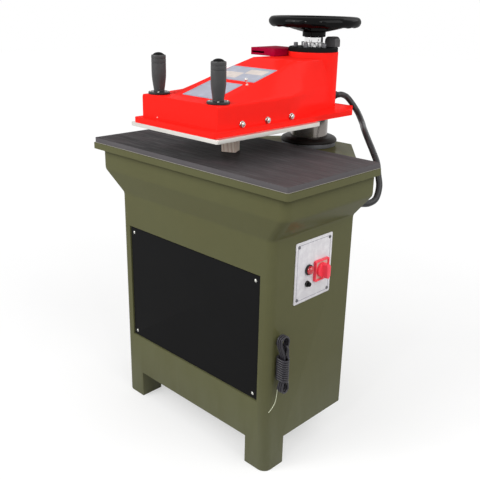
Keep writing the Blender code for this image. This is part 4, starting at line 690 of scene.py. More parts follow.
def collar(name, node, place, bore, radius, height, drop, soft, steps):
    """A black ring with its upper edge sloped off."""
    profile = softened([(bore, height), (radius - 0.0009, height), (radius, height - drop), (radius, 0),
                        (bore, 0)], soft, closed=True)
    finish_piece(name, revolved(profile, steps, closed=True), FLANGE_BLACK, "frame", node,
                 matrix=place)


def make_lamp():
    """The red pilot lamp in its collar."""
    place = on_plate(0.0575, 0.0890)
    collar("lamp_collar", "lamp_bezel", place, 0.0131, 0.0155, 0.0065, 0.0020, 0.0008, 64)
    cap = revolved(domed(0.0128, 0.0170, 0.0103, 10), 64)
    finish_piece("lamp_cap", cap, LENS, "frame", "lamp_lens", matrix=place)


def make_switch():
    """The red switch: a square frame round a pale dial, and a round knob with a bar across it."""
    place = on_plate(0.1110, 0.1010)
    half, high, floor, dial_top = 0.0310, 0.0090, 0.0040, 0.0043
    inner = half - 0.0040
    surround = loose("switch_surround", slab(centred(half, half, 0.004, 5), 0, high, 0.0010))
    carve(surround, [box_shape((-inner, -inner, floor), (inner, inner, high * 2))], 0.0007)
    dress(surround, SWITCH_RED, "frame", "switch_frame", 30, place)
    dial = slab(centred(inner, inner, 0.001, 3), floor, dial_top, 0)
    finish_piece("switch_dial", dial, SWITCH_FACE, "frame", matrix=place)
    radius, disc_low, disc_top, bar_half = 0.0220, 0.0004, 0.0090, 0.0075
    disc = softened([(0, disc_top), (radius * 0.95, disc_top), (radius, disc_top - 0.0010),
                     (radius, disc_low), (0, disc_low)], 0.0012)
    knob = loose("rotary_knob", revolved(disc))
    join(knob, [slab(centred(radius * 0.99, bar_half, 0.0065, 8), 0.0030, 0.0280, 0.0035, 4)])
    round_edges(knob, 0.0009)
    dress(knob, SWITCH_RED, "power_knob", "switch_knob", 34, place @ at(0, 0, dial_top))


def make_stop():
    """The small black button in its collar."""
    place = on_plate(0.0535, 0.1305)
    collar("stop_collar", "stop_bezel", place, 0.0069, 0.0090, 0.0060, 0.0018, 0.0006, 48)
    button = softened([(0, 0.0086), (0.0030, 0.0089), (0.0055, 0.0090), (0.0065, 0.0078), (0.0065, 0),
                       (0, 0)], 0.0008)
    finish_piece("stop_cap", revolved(button, 48), GLOSS_BLACK, "stop_plunger",
                 "stop_button", matrix=place @ at(0, 0, 0.0033))


# Housing and column
def make_housing():
    """The casting behind the bed: it flares in straight steps and is bored for the column."""
    face, rear = BED_Y + BED_DEPTH + SEAT, AXIS_Y + 0.112
    foot, head, narrow = 0.112, 0.341, 0.098
    neck, taper, steps = BAND_TOP - 0.050, 0.150, 4
    levels = [(neck - taper * (1 - share), foot + (head - foot) * share)
              for share in (step / steps for step in range(steps + 1))]
    rings = []
    for height, wide in [(0.0, foot)] + levels + [(BAND_TOP, head)]:
        corners = [(-wide, face), (wide, face), (narrow, rear), (-narrow, rear)]
        rings.append([(x, y, height) for x, y in softened(corners, 0.012, 5, closed=True)])
    piece = loose("housing_casting", lofted(rings))
    carve(piece, [column_bore(BORE_RADIUS, BORE_FLOOR, BAND_TOP + 0.01)], 0.003)
    dress(piece, GREEN, "frame", "column_housing", 30)


def make_bush():
    """The bush's bright collar in the housing, and the rubber wiper round the column on it."""
    bore, outer, low = COLUMN_RADIUS + SEAT, BORE_RADIUS - SEAT, BAND_TOP + SEAT
    top, foot = low + BUSH_RISE, BAND_TOP - BUSH_LENGTH
    bush = softened([(bore, top), (BUSH_RADIUS - 0.001, top), (BUSH_RADIUS, top - 0.002), (BUSH_RADIUS, low),
                     (outer, low), (outer, foot), (bore, foot)], 0.0010, closed=True)
    finish_piece("bush_ring", revolved(bush, closed=True), IRON, "frame", "guide_bush",
                 matrix=ON_AXIS)
    base = top + SEAT
    seal = softened([(bore, base + 0.0185), (0.0640, base + 0.0185), (0.0700, base + 0.0180),
                     (0.0813, base + 0.0159), (0.0885, base + 0.0125), (0.0917, base + 0.0092),
                     (0.0938, base + 0.0060), (0.0945, base + 0.0028), (0.0942, base), (bore, base)],
                    0.0008, closed=True)
    finish_piece("wiper_seal", revolved(seal, closed=True), RUBBER, "frame", "column_seal",
                 matrix=ON_AXIS)


def make_column():
    """The ground column from the piston up, bored from above for the spindle."""
    radius, bore, depth = COLUMN_RADIUS, 0.0120, 0.120
    top, base = COLUMN_TOP, CYLINDER_FLOOR + SEAT + PISTON_THICK + SEAT
    rod = softened([(bore, top), (radius * 0.96, top), (radius, top - 0.0025), (radius, base), (0, base),
                    (0, top - depth), (bore, top - depth)], 0.0008)
    finish_piece("column_rod", revolved(rod + [(bore, top)]), GROUND, "ram", "column",
                 matrix=ON_AXIS)


# Arm
def clamp(share):
    return min(1.0, max(0.0, share))


def arm_corners(reach, inset=0.0):
    """The corners of the arm's cross-section at a distance ahead of the column's axis."""
    spine = SHOULDER + (SPINE_TOP - SHOULDER) * clamp((NOSE_BACK - reach) / (NOSE_BACK - SPINE_START))
    waist = clamp((WAIST_START - reach) / WAIST_START)
    side = ARM_HALF + (BOSS_RADIUS * 0.97 - ARM_HALF) * waist - inset
    crown = SPINE_HALF + (BOSS_RADIUS * 0.80 - SPINE_HALF) * waist - inset * 0.6
    low = ARM_LOW - OVER if inset else ARM_LOW + 0.001
    rim, top = SHOULDER - inset * 0.8, spine - inset
    return [(-side, low), (side, low), (side, rim), (crown, top), (-crown, top), (-side, rim)]


def arm_loop(reach, inset=0.0):
    """The cross-section as a ring of points, with rounded shoulders on the outside of the casting."""
    corners = [Vector(corner) for corner in arm_corners(reach, inset)]
    made = corners if inset else corners[:2]
    if not inset:
        for index in range(2, 6):
            made = made + round_corner(corners[index - 1], corners[index], corners[(index + 1) % 6], 0.009, 5)
    return [(x, AXIS_Y - reach, z) for x, z in made]


def arm_shell():
    """The casting's outside, from its drawn-in nose back to the column's axis."""
    stations = [ARM_FRONT - 0.0012, ARM_FRONT - 0.004, ARM_FRONT - 0.010, NOSE_BACK + 0.008,
                NOSE_BACK + 0.003, NOSE_BACK, NOSE_BACK - 0.004, NOSE_BACK - 0.010, 0.42, 0.36, WAIST_START,
                0.23, SPINE_START + 0.008, SPINE_START, SPINE_START - 0.008, 0.15, 0.10, 0.05, 0.0]
    nose = [(x * 0.9925, y, z - 0.0012 if z > ARM_LOW + 0.01 else z) for x, y, z in arm_loop(ARM_FRONT)]
    return lofted([nose] + [arm_loop(reach) for reach in stations])


def arm_bays():
    """The hollows between the casting's ribs."""
    ribs = (NOSE_BACK, WAIST_START + CAST_WALL, SPINE_START)
    edges = [ARM_FRONT - CAST_WALL] + [edge for rib in ribs for edge in (rib + RIB_HALF, rib - RIB_HALF)]
    edges.append(BOSS_RADIUS + RIB_HALF)
    return [lofted([arm_loop(reach, CAST_WALL) for reach in (start, (start + end) / 2, end)])
            for start, end in zip(edges[::2], edges[1::2])]


def make_arm():
    """The hollow arm casting with its boss and skirt flange, bored for the sleeve."""
    foot, slant = ARM_LOW + 0.001, 0.0053
    arm = loose("arm_shell", arm_shell())
    side = [(0, BOSS_TOP), (BOSS_RADIUS, BOSS_TOP), (BOSS_RADIUS, foot), (0, foot)]
    boss = revolved(softened(side, 0.0015))
    bmesh.ops.transform(boss, matrix=ON_AXIS, verts=boss.verts)
    half, waist = 0.113, 0.005
    rear = [(half, SKIRT_REAR - slant), (half - slant, SKIRT_REAR)]
    right = [(SKIRT_SIDE, -SKIRT_FRONT), (SKIRT_SIDE, waist)] + rear
    outline = softened(right + [(-x, y) for x, y in reversed(right)], 0.004, 4, closed=True)
    skirt = slab([(x, y + AXIS_Y) for x, y in outline], ARM_LOW, ARM_LOW + SKIRT_THICK, 0.0022)
    join(arm, [boss, skirt])
    bore = COLUMN_RADIUS + SEAT + SLEEVE_WALL + TURN_GAP
    carve(arm, arm_bays() + [column_bore(bore, ARM_LOW - 0.01, BOSS_TOP + 0.01)])
    dress(arm, RED, "arm", "arm_casting", 28)


def make_strike():
    """The pale plate under the arm."""
    outline = rounded(-STRIKE_HALF, STRIKE_HALF, AXIS_Y - STRIKE_FRONT, AXIS_Y - STRIKE_BACK, 0.004, 0.004, 5)
    finish_piece("strike_slab", slab(outline, STRIKE_LOW, ARM_LOW - SEAT, 0.0011), PLATE_METAL, "arm",
                 "strike_plate", 30)


def make_side_bolts():
    """Three bright cap nuts on washers along each flank of the arm."""
    washer = softened([(0, 0.0022), (0.0088, 0.0022), (0.0092, 0.0018), (0.0092, 0.0), (0, 0.0)], 0.0004)
    for side, sign in reversed(SIDES):
        for index in range(3):
            name = side + "_" + str(index + 1)
            piece = loose("side_nut_" + name, revolved(washer, 48))
            nut = peg(0.0080, 0.0052, 6, 0.0044)
            bevelled(nut, nut.edges[:], 0.0005, 2, 0)
            join(piece, [nut, revolved(domed(0.0062, 0.0089, 0.0029, 9, 0.0030), 32)])
            place = at(sign * (ARM_HALF + SEAT), AXIS_Y - BOLT_FIRST + BOLT_PITCH * index,
                       ARM_LOW + BOLT_RISE, turned(90 * sign, "Y"))
            dress(piece, NUT_STEEL, "arm", "side_bolt_" + name, 30, place)


# Each label's name, half width, near and far edge up the slope, and its fields' left, right, near and far
LABELS = (("lower", 0.0670, 0.0040, 0.1190, ()),
          ("upper", 0.0900, 0.1400, 0.2420, ((-0.074, -0.001, 0.156, 0.197), (0.003, 0.074, 0.192, 0.225))))
SLOPE = math.atan2(SPINE_TOP - SHOULDER, NOSE_BACK - SPINE_START)
SLOPE_FOOT = at(0, AXIS_Y - NOSE_BACK, SHOULDER, Matrix.Rotation(SLOPE, 4, "X"))


def make_labels():
    """Two blank plates on the arm's slope: borders and pale fields, with nothing printed."""
    thick, lift, margin = 0.0006, 0.0002, 0.003
    for name, half_x, near, far, fields in LABELS:
        middle, half_y = (near + far) / 2, (far - near) / 2
        place = SLOPE_FOOT @ at(0, middle, lift)
        face = place @ at(0, 0, thick)
        plate = slab(centred(half_x, half_y, 0.003, 4), 0, thick, 0.0002, 1)
        finish_piece("slope_plate_" + name, plate, LABEL_GREY, "arm", matrix=place)
        border = thin_frame(half_x - margin, half_y - margin, 0.0009, 0.00012)
        finish_piece("slope_border_" + name, border, LABEL_LINE, "arm", matrix=face)
        for index, (left, right, low, high) in enumerate(fields):
            field = slab(rounded(left, right, low - middle, high - middle, 0.003, 0.003, 4), 0, 0.00015, 0)
            finish_piece("slope_field_" + name + "_" + str(index), field, LABEL_WHITE, "arm",
                         matrix=face)


def make_pins():
    """The waisted pin on the arm's slope and the small plug in its nose."""
    pin = softened([(0, 0.0200), (0.0022, 0.0198), (0.0044, 0.0180), (0.0048, 0.0150), (0.0040, 0.0125),
                    (0.0020, 0.0110), (0.0020, 0.0016), (0.0040, 0.0010), (0.0040, 0), (0, 0)], 0.0006)
    finish_piece("slope_pin", revolved(pin, 32), BRIGHT, "arm",
                 matrix=SLOPE_FOOT @ at(0.0807, 0.1206, 0.0002))
    plug = softened([(0, 0.0006), (0.0022, 0.0006), (0.0026, 0), (0, 0)], 0.0003)
    finish_piece("nose_plug", revolved(plug, 24), BRIGHT, "arm",
                 matrix=at(-0.089, AXIS_Y - ARM_FRONT - 0.0002, 1.000, FORWARD))


# Fittings on the boss
def make_cap():
    """The boss's black cap with its five socket screws."""
    low, bore, soft = BOSS_TOP + SEAT, 0.0114, 0.003
    ring = softened([(bore, CAP_TOP), (CAP_RADIUS - 0.002, CAP_TOP), (CAP_RADIUS, CAP_TOP - soft),
                     (CAP_RADIUS, low), (bore, low)], 0.0010, closed=True)
    finish_piece("bearing_cap", revolved(ring, closed=True), BLACK_PAINT, "arm", "top_flange",
                 30, ON_AXIS)
    radius, top, foot, circle = 0.0068, CAP_TOP + 0.0130, CAP_TOP - soft, 0.057
    head = softened([(0, top), (radius - 0.0004, top), (radius, top - 0.0008), (radius, foot), (0, foot)],
                    0.0004)
    for index in range(1, 6):
        angle = math.radians(44 + 60 * index)
        bolt = loose("cap_bolt_" + str(index), revolved(head, 32))
        carve(bolt, [peg(0.0036, 0.014, 6, top + 0.0005)])
        dress(bolt, IRON, "arm", crease=30,
              matrix=at(circle * math.cos(angle), AXIS_Y + circle * math.sin(angle), 0))


def make_lock_ring():
    """The bright ring on the cap, with eight notches in its rim."""
    outer, inner, half_notch, notches = 0.0345, 0.0297, 0.0040, 8
    low = CAP_TOP + SEAT
    gap, pitch = math.degrees(half_notch / outer), 360 / notches
    outline = []
    for index in range(notches):
        start, end = pitch * index + gap, pitch * (index + 1) - gap
        outline += arc((0, AXIS_Y), outer, start, end, 8) + arc((0, AXIS_Y), inner, end, end + gap * 2, 2)
    nut = loose("slotted_ring", slab(outline, low, low + 0.0125, 0.0007, 2))
    carve(nut, [column_bore(0.0220, CAP_TOP - 0.01, CAP_TOP + 0.03, 60)])
    dress(nut, STEEL, "arm", "lock_ring", 30)


def make_limit_switch():
    """The grey switch on the cap, rounded over its top."""
    width, depth, height = 0.0405, 0.030, 0.032
    block = centred_box(width, depth, height)
    shoulders = [e for e in block.edges
                 if abs(e.verts[0].co.y - e.verts[1].co.y) > depth / 2 and e.verts[0].co.z > 0]
    bevelled(block, shoulders, 0.0145, 8)
    sharp = [e for e in block.edges if len(e.link_faces) == 2 and e.calc_face_angle() > math.radians(40)]
    bevelled(block, sharp, 0.0014, 2, 0)
    finish_piece("limit_switch_case", block, SWITCH_GREY, "arm", "limit_switch",
                 matrix=at(0.04125, AXIS_Y + 0.045, CAP_TOP + SEAT + height / 2))


def make_tray():
    """The flat crimson cable tray, open inside, with a slot in its front and a hollow for the boss."""
    wall, low = 0.0025, SPINE_TOP + SEAT
    left, right, front, back, top = -0.1535, -0.051, AXIS_Y - 0.130, AXIS_Y - 0.010, low + 0.0230
    slot_left, slot_length, slot_low, slot_high = left + wall * 2, 0.052, low + 0.0070, low + 0.0125
    tray = loose("cable_tray", box_shape((left, front, low), (right, back, top)))
    carve(tray, [box_shape((left + wall, front + wall, low + wall), (right - wall, back - wall, top - wall)),
                 box_shape((slot_left, front - OVER, slot_low), (slot_left + slot_length, front + wall * 2,
                                                                 slot_high)),
                 column_bore(BOSS_RADIUS + SEAT, low - OVER, top + 0.007)], 0.0008)
    dress(tray, CRIMSON, "arm", "junction_tray", 30)


# Grips and handwheel
def grip_base(side, x, floor):
    """A grip's black base with its four screws."""
    circle, radius, edge = 0.0235, 0.0312, 0.0292
    disc = softened([(0, GRIP_BASE), (0.0150, GRIP_BASE), (edge, 0.0070), (radius, 0.0050), (radius, 0),
                     (0, 0)], 0.0010)
    finish_piece(side + "_base", revolved(disc, 80), FLANGE_BLACK, "arm",
                 side + "_grip_flange", matrix=at(x, GRIP_Y, floor))
    for index in range(4):
        turn = math.radians(45 + 90 * index)
        place = at(x + circle * math.cos(turn), GRIP_Y + circle * math.sin(turn), floor + 0.0072)
        screw(side + "_base_screw_" + str(index), 0.0030, place, "arm", BRIGHT)


def grip_handle(side, x, foot):
    """A waisted grip with two grooves round it and a mouth for its button."""
    wide, high, well = GRIP_RADIUS, GRIP_LENGTH, GRIP_LENGTH - GRIP_MOUTH_DEPTH
    flank = ((1, 0.965), (1, 0.900), (0.955, 0.893), (1, 0.886), (1, 0.785), (0.955, 0.778), (1, 0.771),
             (1, 0.52), (0.985, 0.42), (0.93, 0.31), (0.84, 0.17), (0.75, 0.05), (0.735, 0.015), (0.76, 0))
    profile = [(GRIP_MOUTH, high), (0.0190, high), (0.0200, high * 0.992)]
    profile += [(wide * across, high * up) for across, up in flank]
    profile += [(0, 0), (0, well), (GRIP_MOUTH, well)]
    handle = revolved(softened(profile, 0.0009, closed=True), 80, closed=True)
    finish_piece(side + "_handle", handle, GRIP_BLACK, "arm", side + "_grip", 50,
                 at(x, GRIP_Y, foot))


def make_grips():
    """The two push-button grips on the arm's nose."""
    for side, sign in SIDES:
        x, floor = sign * GRIP_OUT, SHOULDER + SEAT
        foot = floor + GRIP_BASE + SEAT
        seat = foot + GRIP_LENGTH - GRIP_MOUTH_DEPTH + BUTTON_TRAVEL + SEAT
        grip_base(side, x, floor)
        grip_handle(side, x, foot)
        button = revolved(domed(0.0160, 0.0155, 0.0085, 15), 64)
        finish_piece(side + "_plunger", button, GLOSS_BLACK, side + "_push_button",
                     side + "_button", 50, at(x, GRIP_Y, seat))


def make_rim():
    """The handwheel's round rim with shallow waves under it."""
    around, across, waves, wave_depth = 240, 28, 20, 0.0018
    rim = bmesh.new()
    rows = []
    for turn in (math.tau * k / around for k in range(around)):
        row = []
        for tip in (math.tau * j / across for j in range(across)):
            r, z = WHEEL_RADIUS - WHEEL_RIM + WHEEL_RIM * math.cos(tip), WHEEL_RIM * math.sin(tip)
            under = max(0.0, -math.sin(tip)) ** 1.5
            z -= wave_depth * under * (0.5 + 0.5 * math.cos(waves * turn)) ** 1.5
            row.append(rim.verts.new((r * math.cos(turn), r * math.sin(turn), z)))
        rows.append(row)
    bridge(rim, rows + rows[:1])
    finish_piece("wheel_rim", rim, GLOSS_BLACK, "height_wheel", "handwheel", 60,
                 at(0, AXIS_Y, WHEEL_HEIGHT))


def make_web(foot):
    """The handwheel's dished web with its hub and three windows."""
    hub, drop, thick = 0.0370, 0.0285, 0.0080
    window_in, window_out, half_turn = 0.054, 0.108, 39
    outer = WHEEL_RADIUS - WHEEL_RIM - WHEEL_RIM * 0.55
    profile = [(0, -drop * 0.25), (hub * 0.8, -drop * 0.30), (hub, -drop + thick),
               (window_in, -drop * 0.62 + thick / 2), (outer, thick * 0.2), (outer, -thick * 1.1),
               (window_out, -thick * 1.7), (0.0756, -drop * 0.80), (hub * 1.10, -drop * 1.08),
               (hub, -drop * 1.1), (hub, foot), (0, foot)]
    web = loose("wheel_web", revolved(softened(profile, 0.0025, 4), 120))
    windows = []
    for turn in (90, 210, 330):
        outline = (arc((0, 0), window_out, turn - half_turn, turn + half_turn, 14)
                   + arc((0, 0), window_in, turn + half_turn * 0.8, turn - half_turn * 0.8, 9))
        windows.append(slab(softened(outline, 0.006, 4, closed=True), -0.06, 0.06, 0))
    carve(web, windows, 0.0012)
    dress(web, GLOSS_BLACK, "height_wheel", crease=40, matrix=at(0, AXIS_Y, WHEEL_HEIGHT))


def make_spindle(low):
    """The bright thrust collar under the wheel's hub, with a hole in its side, and the spindle."""
    bore, inner, outer, bevel = 0.0113, 0.0290, 0.0300, 0.0012
    base = low - 0.0175
    ring = softened([(bore, low), (inner, low), (outer, low - bevel), (outer, base + bevel), (inner, base),
                     (bore, base)], 0.0008, closed=True)
    thrust = loose("thrust_ring", revolved(ring, 80, closed=True))
    hole = peg(0.0030, 0.02, 24)
    bmesh.ops.transform(hole, matrix=turned(-22, "Z") @ at(outer, 0, (low + base) / 2, RIGHTWARD),
                        verts=hole.verts)
    carve(thrust, [hole])
    dress(thrust, CHROME, "height_wheel", "thrust_collar", 34, ON_AXIS)
    radius, length = 0.0110, 0.160
    rod = softened([(0, low), (radius, low), (radius, low - length), (0, low - length)], 0.0008)
    finish_piece("lead_screw", revolved(rod, 48), STEEL, "height_wheel", "spindle",
                 matrix=ON_AXIS)


def make_wheel():
    foot = -0.0465
    make_rim()
    make_web(foot)
    make_spindle(WHEEL_HEIGHT + foot - SEAT)


# Hose
HOSE_KNOTS = (
    (0.0640, 0.6995, 1.0110), (0.0945, 0.7130, 0.9700), (0.1370, 0.6860, 0.9390), (0.1669, 0.6500, 0.9340),
    (0.1975, 0.6160, 0.9270), (0.2321, 0.5890, 0.9060), (0.2622, 0.5730, 0.8785), (0.2925, 0.5534, 0.8517),
    (0.3129, 0.5335, 0.8233), (0.3309, 0.5171, 0.7914), (0.3405, 0.4897, 0.7610), (0.3350, 0.4617, 0.7500))
HOSE_ANGLE, HOSE_RISE = 63, 0.0438
HOSE_ENTRY = Vector((0.3252, BED_Y + BED_DEPTH + SEAT, 0.7519))
GLAND_RADIUS, GLAND_LENGTH = 0.0150, 0.0140


def gland(name, matrix, body, replaced):
    """A ribbed compression gland."""
    radius, length = GLAND_RADIUS, GLAND_LENGTH
    points = [(0, length), (radius * 0.74, length), (radius * 0.80, length * 0.85)]
    points += [(radius * (0.84 if k % 2 else 0.78), length * (0.80 - 0.055 * k)) for k in range(5)]
    points += [(radius, length * 0.50), (radius, 0), (0, 0)]
    finish_piece(name, revolved(softened(points, 0.0004, 2), 48), FLANGE_BLACK, body,
                 replaced, 30, matrix)


def make_hose():
    """The control hose from the arm's rear to the cabinet's, in three stretches."""
    out, back = turned(HOSE_ANGLE, "Z") @ Vector((1, 0, 0)), Vector((0, 1, 0))
    seat = Vector((0, AXIS_Y, ARM_LOW + HOSE_RISE)) + out * (BOSS_RADIUS + SEAT)
    gland("arm_gland", at(*seat, turned(HOSE_ANGLE, "Z") @ RIGHTWARD), "arm", "hose_gland_arm")
    gland("cabinet_gland", at(*HOSE_ENTRY, BACKWARD), "frame", "hose_gland_cabinet")
    start, end = seat + out * (GLAND_LENGTH + SEAT), HOSE_ENTRY + back * (GLAND_LENGTH + SEAT)
    stub, lead = HOSE_RADIUS / 3, HOSE_RADIUS * 2
    knots = [start + out * stub, start + out * lead] + [Vector((x, y + BED_Y, z)) for x, y, z in HOSE_KNOTS]
    knots += [end + back * lead, end + back * stub]
    line = np.vstack([start, smooth_line(knots, 0.005), end])
    count = len(line)
    cuts = [0, int(count * 0.34), int(count * 0.60), count - 1]
    stretches = (("hose_upper", "carrier", "arm"), ("hose_middle", "ram", "carrier"),
                 ("hose_lower", "frame", "ram"))
    for index, (name, near, far) in enumerate(stretches):
        part = line[cuts[index]:cuts[index + 1] + 1]
        piece = loose(name, pipe(part, HOSE_RADIUS, 24))
        piece.data.shade_smooth()
        piece.data.materials.append(HOSE_BLACK)
        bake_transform(piece)
        if index == 0:
            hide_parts("control_hose")


# Spare cord
LOOP_PITCH, WRAP_PITCH, WRAPS, LOOPS = 0.0068, 0.0070, 10, 3
HANK_FORWARD, HANK_TOP, TOP_ROUND, HANK_BOTTOM, BOTTOM_ROUND = 0.0363, 0.4495, 0.0155, 0.2775, 0.0125
WAIST_TOP, WAIST_HALF = 0.3850, 0.0035
WAIST_BOTTOM = WAIST_TOP - WRAP_PITCH * WRAPS
WRAP_ROUND, WRAP_FLAT, OFF_WALL, LEAD = 0.0113, 0.0060, 0.0037, 0.0090
WRAP_LENGTH = WRAP_FLAT * 4 + WRAP_ROUND * math.tau
GROMMET_HEIGHT, GROMMET_THICK = 0.4240, 0.0030
WIRE_KNOTS = ((0.0114, 0.0658, 0.2620), (0.0100, 0.0630, 0.2420), (0.0078, 0.0540, 0.2255),
              (0.0050, 0.0410, 0.2127))


def wrap_point(along, height):
    """The place on a wrap, an upright loop with two flat sides, at a length along it."""
    middle = OFF_WALL + WRAP_FLAT + WRAP_ROUND
    quarter, flat = WRAP_ROUND * math.pi / 2, WRAP_FLAT * 2
    left = along % WRAP_LENGTH
    if left < quarter:
        centre, turn, shift = middle + WRAP_FLAT, left / WRAP_ROUND, 0
    elif left < quarter + flat:
        centre, turn, shift = middle + WRAP_FLAT, math.pi / 2, quarter - left
    elif left < quarter * 3 + flat:
        centre, turn, shift = middle - WRAP_FLAT, (left - flat) / WRAP_ROUND, 0
    elif left < quarter * 3 + flat * 2:
        centre, turn, shift = middle - WRAP_FLAT, math.pi * 1.5, left - quarter * 3 - flat
    else:
        centre, turn, shift = middle + WRAP_FLAT, (left - flat * 2) / WRAP_ROUND, 0
    return (centre + shift + WRAP_ROUND * math.cos(turn), WRAP_ROUND * math.sin(turn), height)


def half_gap(height):
    """Half the way between a loop's two runs at a height: least at the waist, full at the folds."""
    top, bottom = HANK_TOP - TOP_ROUND, HANK_BOTTOM + BOTTOM_ROUND
    if height > WAIST_TOP:
        share, full = (height - WAIST_TOP) / (top - WAIST_TOP), TOP_ROUND
    elif height < WAIST_BOTTOM:
        share, full = (WAIST_BOTTOM - height) / (WAIST_BOTTOM - bottom), BOTTOM_ROUND
    else:
        share, full = 0, WAIST_HALF
    return WAIST_HALF + (full - WAIST_HALF) * (1 - math.cos(math.pi * min(share, 1))) / 2


def half_turn(layer, middle, radius):
    """A fold of a loop, in sixteen steps: below its middle height, or above it for a negative radius."""
    turns = [math.pi * step / 16 for step in range(17)]
    return [(layer, radius * math.cos(turn), middle - radius * math.sin(turn)) for turn in turns]


def wrap_lines():
    """The cord from its grommet out, down and round the waist, to where the last wrap turns down."""
    front = OFF_WALL + (WRAP_FLAT + WRAP_ROUND) * 2
    start, bend, high = GROMMET_THICK + SEAT * 2, 0.0100, GROMMET_HEIGHT
    turns = [math.radians(9 * step) for step in range(11)]
    line = [(start, 0, high), (start + CORD_RADIUS * 2, 0, high)]
    line += [(front - bend + bend * math.sin(turn), 0, high - bend + bend * math.cos(turn)) for turn in turns]
    line += [wrap_point(LEAD * (1 - math.cos(turn)), WAIST_TOP + LEAD * (1 - math.sin(turn)))
             for turn in turns[:10]]
    around = 48
    for step in range(6, WRAPS * around + 1):
        along = WRAP_LENGTH * step / around
        line.append(wrap_point(along, WAIST_TOP - WRAP_PITCH * (along - LEAD) / WRAP_LENGTH))
    last = line[-1][2]
    line += [wrap_point(LEAD * math.sin(turn), last - LEAD * (1 - math.cos(turn))) for turn in turns[1:9]]
    return line


def hank_line():
    """The whole cord: its wraps, its loops one behind another, and the tail; and the tail's direction."""
    line = wrap_lines()
    layer = OFF_WALL + WRAP_FLAT + WRAP_ROUND + LOOP_PITCH * (LOOPS / 2 + 0.25)
    low, top = HANK_BOTTOM + BOTTOM_ROUND, HANK_TOP - TOP_ROUND
    levels = [low + (WAIST_BOTTOM - low) * step / 6 for step in range(1, 7)]
    levels += [WAIST_TOP + (top - WAIST_TOP) * step / 8 for step in range(8)]
    for index in range(LOOPS):
        line += half_turn(layer, low, BOTTOM_ROUND)
        for level in levels:
            climb = (min(level - low, WAIST_BOTTOM - low) / (WAIST_BOTTOM - low)
                     + max(level - WAIST_TOP, 0) / (top - WAIST_TOP)) * LOOP_PITCH / 2
            line.append((layer - climb, -half_gap(level), level))
        layer -= LOOP_PITCH
        line += half_turn(layer, top, -TOP_ROUND)
        runs = reversed(levels if index < LOOPS - 1 else levels[5:])
        line += [(layer, half_gap(level), level) for level in runs]
    end, tilt = Vector((layer, -0.0078, 0.2825)), math.radians(18)
    lean = Vector((0, -math.sin(tilt), -math.cos(tilt)))
    first, last = Vector(line[-1]), end - lean * CORD_RADIUS * 2
    pull = (last - first).length / 3
    for t in (step / 10 for step in range(1, 11)):
        line.append(first * (1 - t) ** 3 + (first - Vector((0, 0, pull))) * 3 * t * (1 - t) ** 2
                    + (last - lean * pull) * 3 * t * t * (1 - t) + last * t ** 3)
    return line + [end], lean


def make_hank():
    """The spare cord: wrapped down the hank's waist, then looped inwards, ending in a bare wire."""
    base = Vector((BODY_WIDTH / 2, BED_Y + BODY_SETBACK + HANK_FORWARD, 0))
    grommet = softened([(0, GROMMET_THICK), (0.0040, GROMMET_THICK), (0.0064, 0.0028), (0.0080, 0.0015),
                        (0.0080, 0), (0, 0)], 0.0005)
    finish_piece("wall_grommet", revolved(grommet, 40), RUBBER, "frame", "cord_grommet",
                 matrix=at(base.x + SEAT, base.y, GROMMET_HEIGHT, RIGHTWARD))
    line, lean = hank_line()
    points = [base + Vector(point) for point in line]
    lay_cord("spare_cord", points, CORD_RADIUS, CORD_BLACK, "cord_black", "cord_hank", far_end="bare",
             stiffness="medium", lay="coiled")
    start = points[-1] + lean * SEAT
    route = [start, start + lean * 0.002] + [Vector((base.x + x, BED_Y + y, z)) for x, y, z in WIRE_KNOTS]
    lay_cord("bare_wire", smooth_line(route, 0.0025), WIRE_RADIUS, WIRE_PALE, "wire_pale", "earth_wire",
             far_end="bare", stiffness="stiff", lay="hanging")


# Solids that stay
KEPT = {
    "contactor_box": SWITCH_GREY, "cylinder_base": IRON, "cylinder_gland": IRON, "cylinder_tube": STEEL,
    "hydraulic_pump": IRON, "oil_tank": IRON, "piston": STEEL, "pressure_pipe": STEEL, "return_pipe": STEEL,
    "pump_motor": MOTOR_PAINT, "sleeve_cap": STEEL, "swivel_sleeve": STEEL, "valve_block": PLATE_METAL,
}


def finish_kept_solids():
    for node, look in KEPT.items():
        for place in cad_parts[node].material_slots:
            place.material = look


# Camera and light
PHOTO_WIDTH, FOCAL_LENGTH, SENSOR = 480, 672.54, 36.0
CAMERA_PLACE = (1.4087, BED_Y - 1.1960, 1.3223)
CAMERA_YAW, CAMERA_PITCH, CAMERA_ROLL = 44.1377, 19.7932, 1.13566
# Each lamp's name, place, aim, size and power
LAMPS = (("key", (-1.0, -2.7, 2.5), (0, 0, 0.8), 2.4, 62),
         ("fill", (2.6, 0.1, 2.6), (0, 0, 0.8), 2.4, 46),
         ("rim", (0.6, 2.6, 2.8), (0, 0.2, 1.0), 1.8, 18),
         ("glint_left", (-0.7, -2.4, 2.3), (0, 0, 1.0), 0.24, 6),
         ("glint_middle", (0.8, -2.6, 2.3), (0, 0, 1.0), 0.24, 6),
         ("glint_right", (2.2, -1.4, 2.3), (0, 0, 1.0), 0.24, 5))
WHITE = (1.0, 1.0, 1.0, 1.0)


def make_camera():
    data = bpy.data.cameras.new("camera")
    data.sensor_width = SENSOR
    data.lens = FOCAL_LENGTH / PHOTO_WIDTH * SENSOR
    camera = bpy.data.objects.new("camera", data)
    bpy.context.scene.collection.objects.link(camera)
    tilt = turned(CAMERA_YAW, "Z") @ turned(90 - CAMERA_PITCH, "X") @ turned(CAMERA_ROLL, "Z")
    camera.matrix_world = at(*CAMERA_PLACE, tilt)
    bpy.context.scene.camera = camera


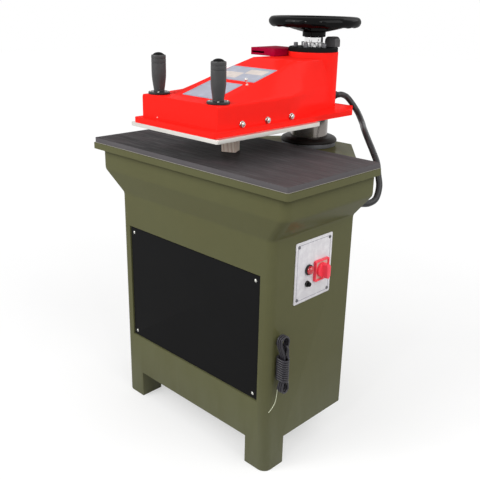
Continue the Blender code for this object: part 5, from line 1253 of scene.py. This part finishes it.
def seen_directly(tree):
    """1 on rays from the camera or off gloss or through glass, where the white backdrop shows, else 0."""
    path = add(tree, "LightPath").outputs
    seen = maths(tree, "MAXIMUM", path["Is Camera Ray"], path["Is Glossy Ray"])
    return maths(tree, "MAXIMUM", seen, path["Is Transmission Ray"])


def make_backdrop():
    """A white world, dimmer where it only lights the press."""
    world = bpy.data.worlds.new("studio")
    world.use_nodes = True
    tree = world.node_tree
    strength = spread(tree, seen_directly(tree), 0.52, 1.0)
    feed(tree, tree.nodes["Background"], {"Color": WHITE, "Strength": strength})
    bpy.context.scene.world = world
    bpy.context.scene.view_settings.view_transform = "Standard"


def make_lamps():
    for name, place, aim, size, power in LAMPS:
        data = bpy.data.lights.new(name, "AREA")
        data.energy = power
        data.size = size
        lamp = bpy.data.objects.new(name, data)
        bpy.context.scene.collection.objects.link(lamp)
        lamp.location = place
        lamp.rotation_euler = (Vector(aim) - Vector(place)).to_track_quat("-Z", "Y").to_euler()


def pale_floor():
    """A plain pale floor that keeps the shadow and runs out into the white backdrop."""
    made, tree, shader = start_material("pale_floor")
    where = place_coords(tree)
    away = add(tree, "VectorMath", {0: where}, operation="LENGTH").outputs["Value"]
    far = spread(tree, away, 0.0, 1.0, 0.8, 2.2, interpolation_type="SMOOTHSTEP")
    direct = seen_directly(tree)
    tone = ramp(tree, noise(tree, where, 1.5, 2), [(0.3, 0.49), (0.7, 0.51)])
    base = blend_colours(tree, maths(tree, "MULTIPLY", far, direct), tone, (0.0, 0.0, 0.0))
    glow = maths(tree, "MULTIPLY", direct, spread(tree, far, 0.50, 1.0))
    feed(tree, shader, {"Base Color": base, "Roughness": 0.9, "Specular IOR Level": 0.1,
                        "Emission Color": WHITE, "Emission Strength": glow})
    return made


def make_floor():
    shape = bmesh.new()
    bmesh.ops.create_grid(shape, x_segments=1, y_segments=1, size=14)
    floor = loose("floor", shape)
    floor.location.z = -0.0005
    floor.data.materials.append(pale_floor())


def main():
    for make in (make_camera, make_backdrop, make_lamps, make_floor, make_hose, make_hank, make_cabinet,
                 make_panel, make_table, make_block, make_control_plate, make_lamp, make_switch, make_stop,
                 make_housing, make_bush, make_column, make_arm, make_strike, make_side_bolts, make_labels,
                 make_pins, make_cap, make_lock_ring, make_limit_switch, make_tray, make_grips, make_wheel,
                 finish_kept_solids):
        make()


main()
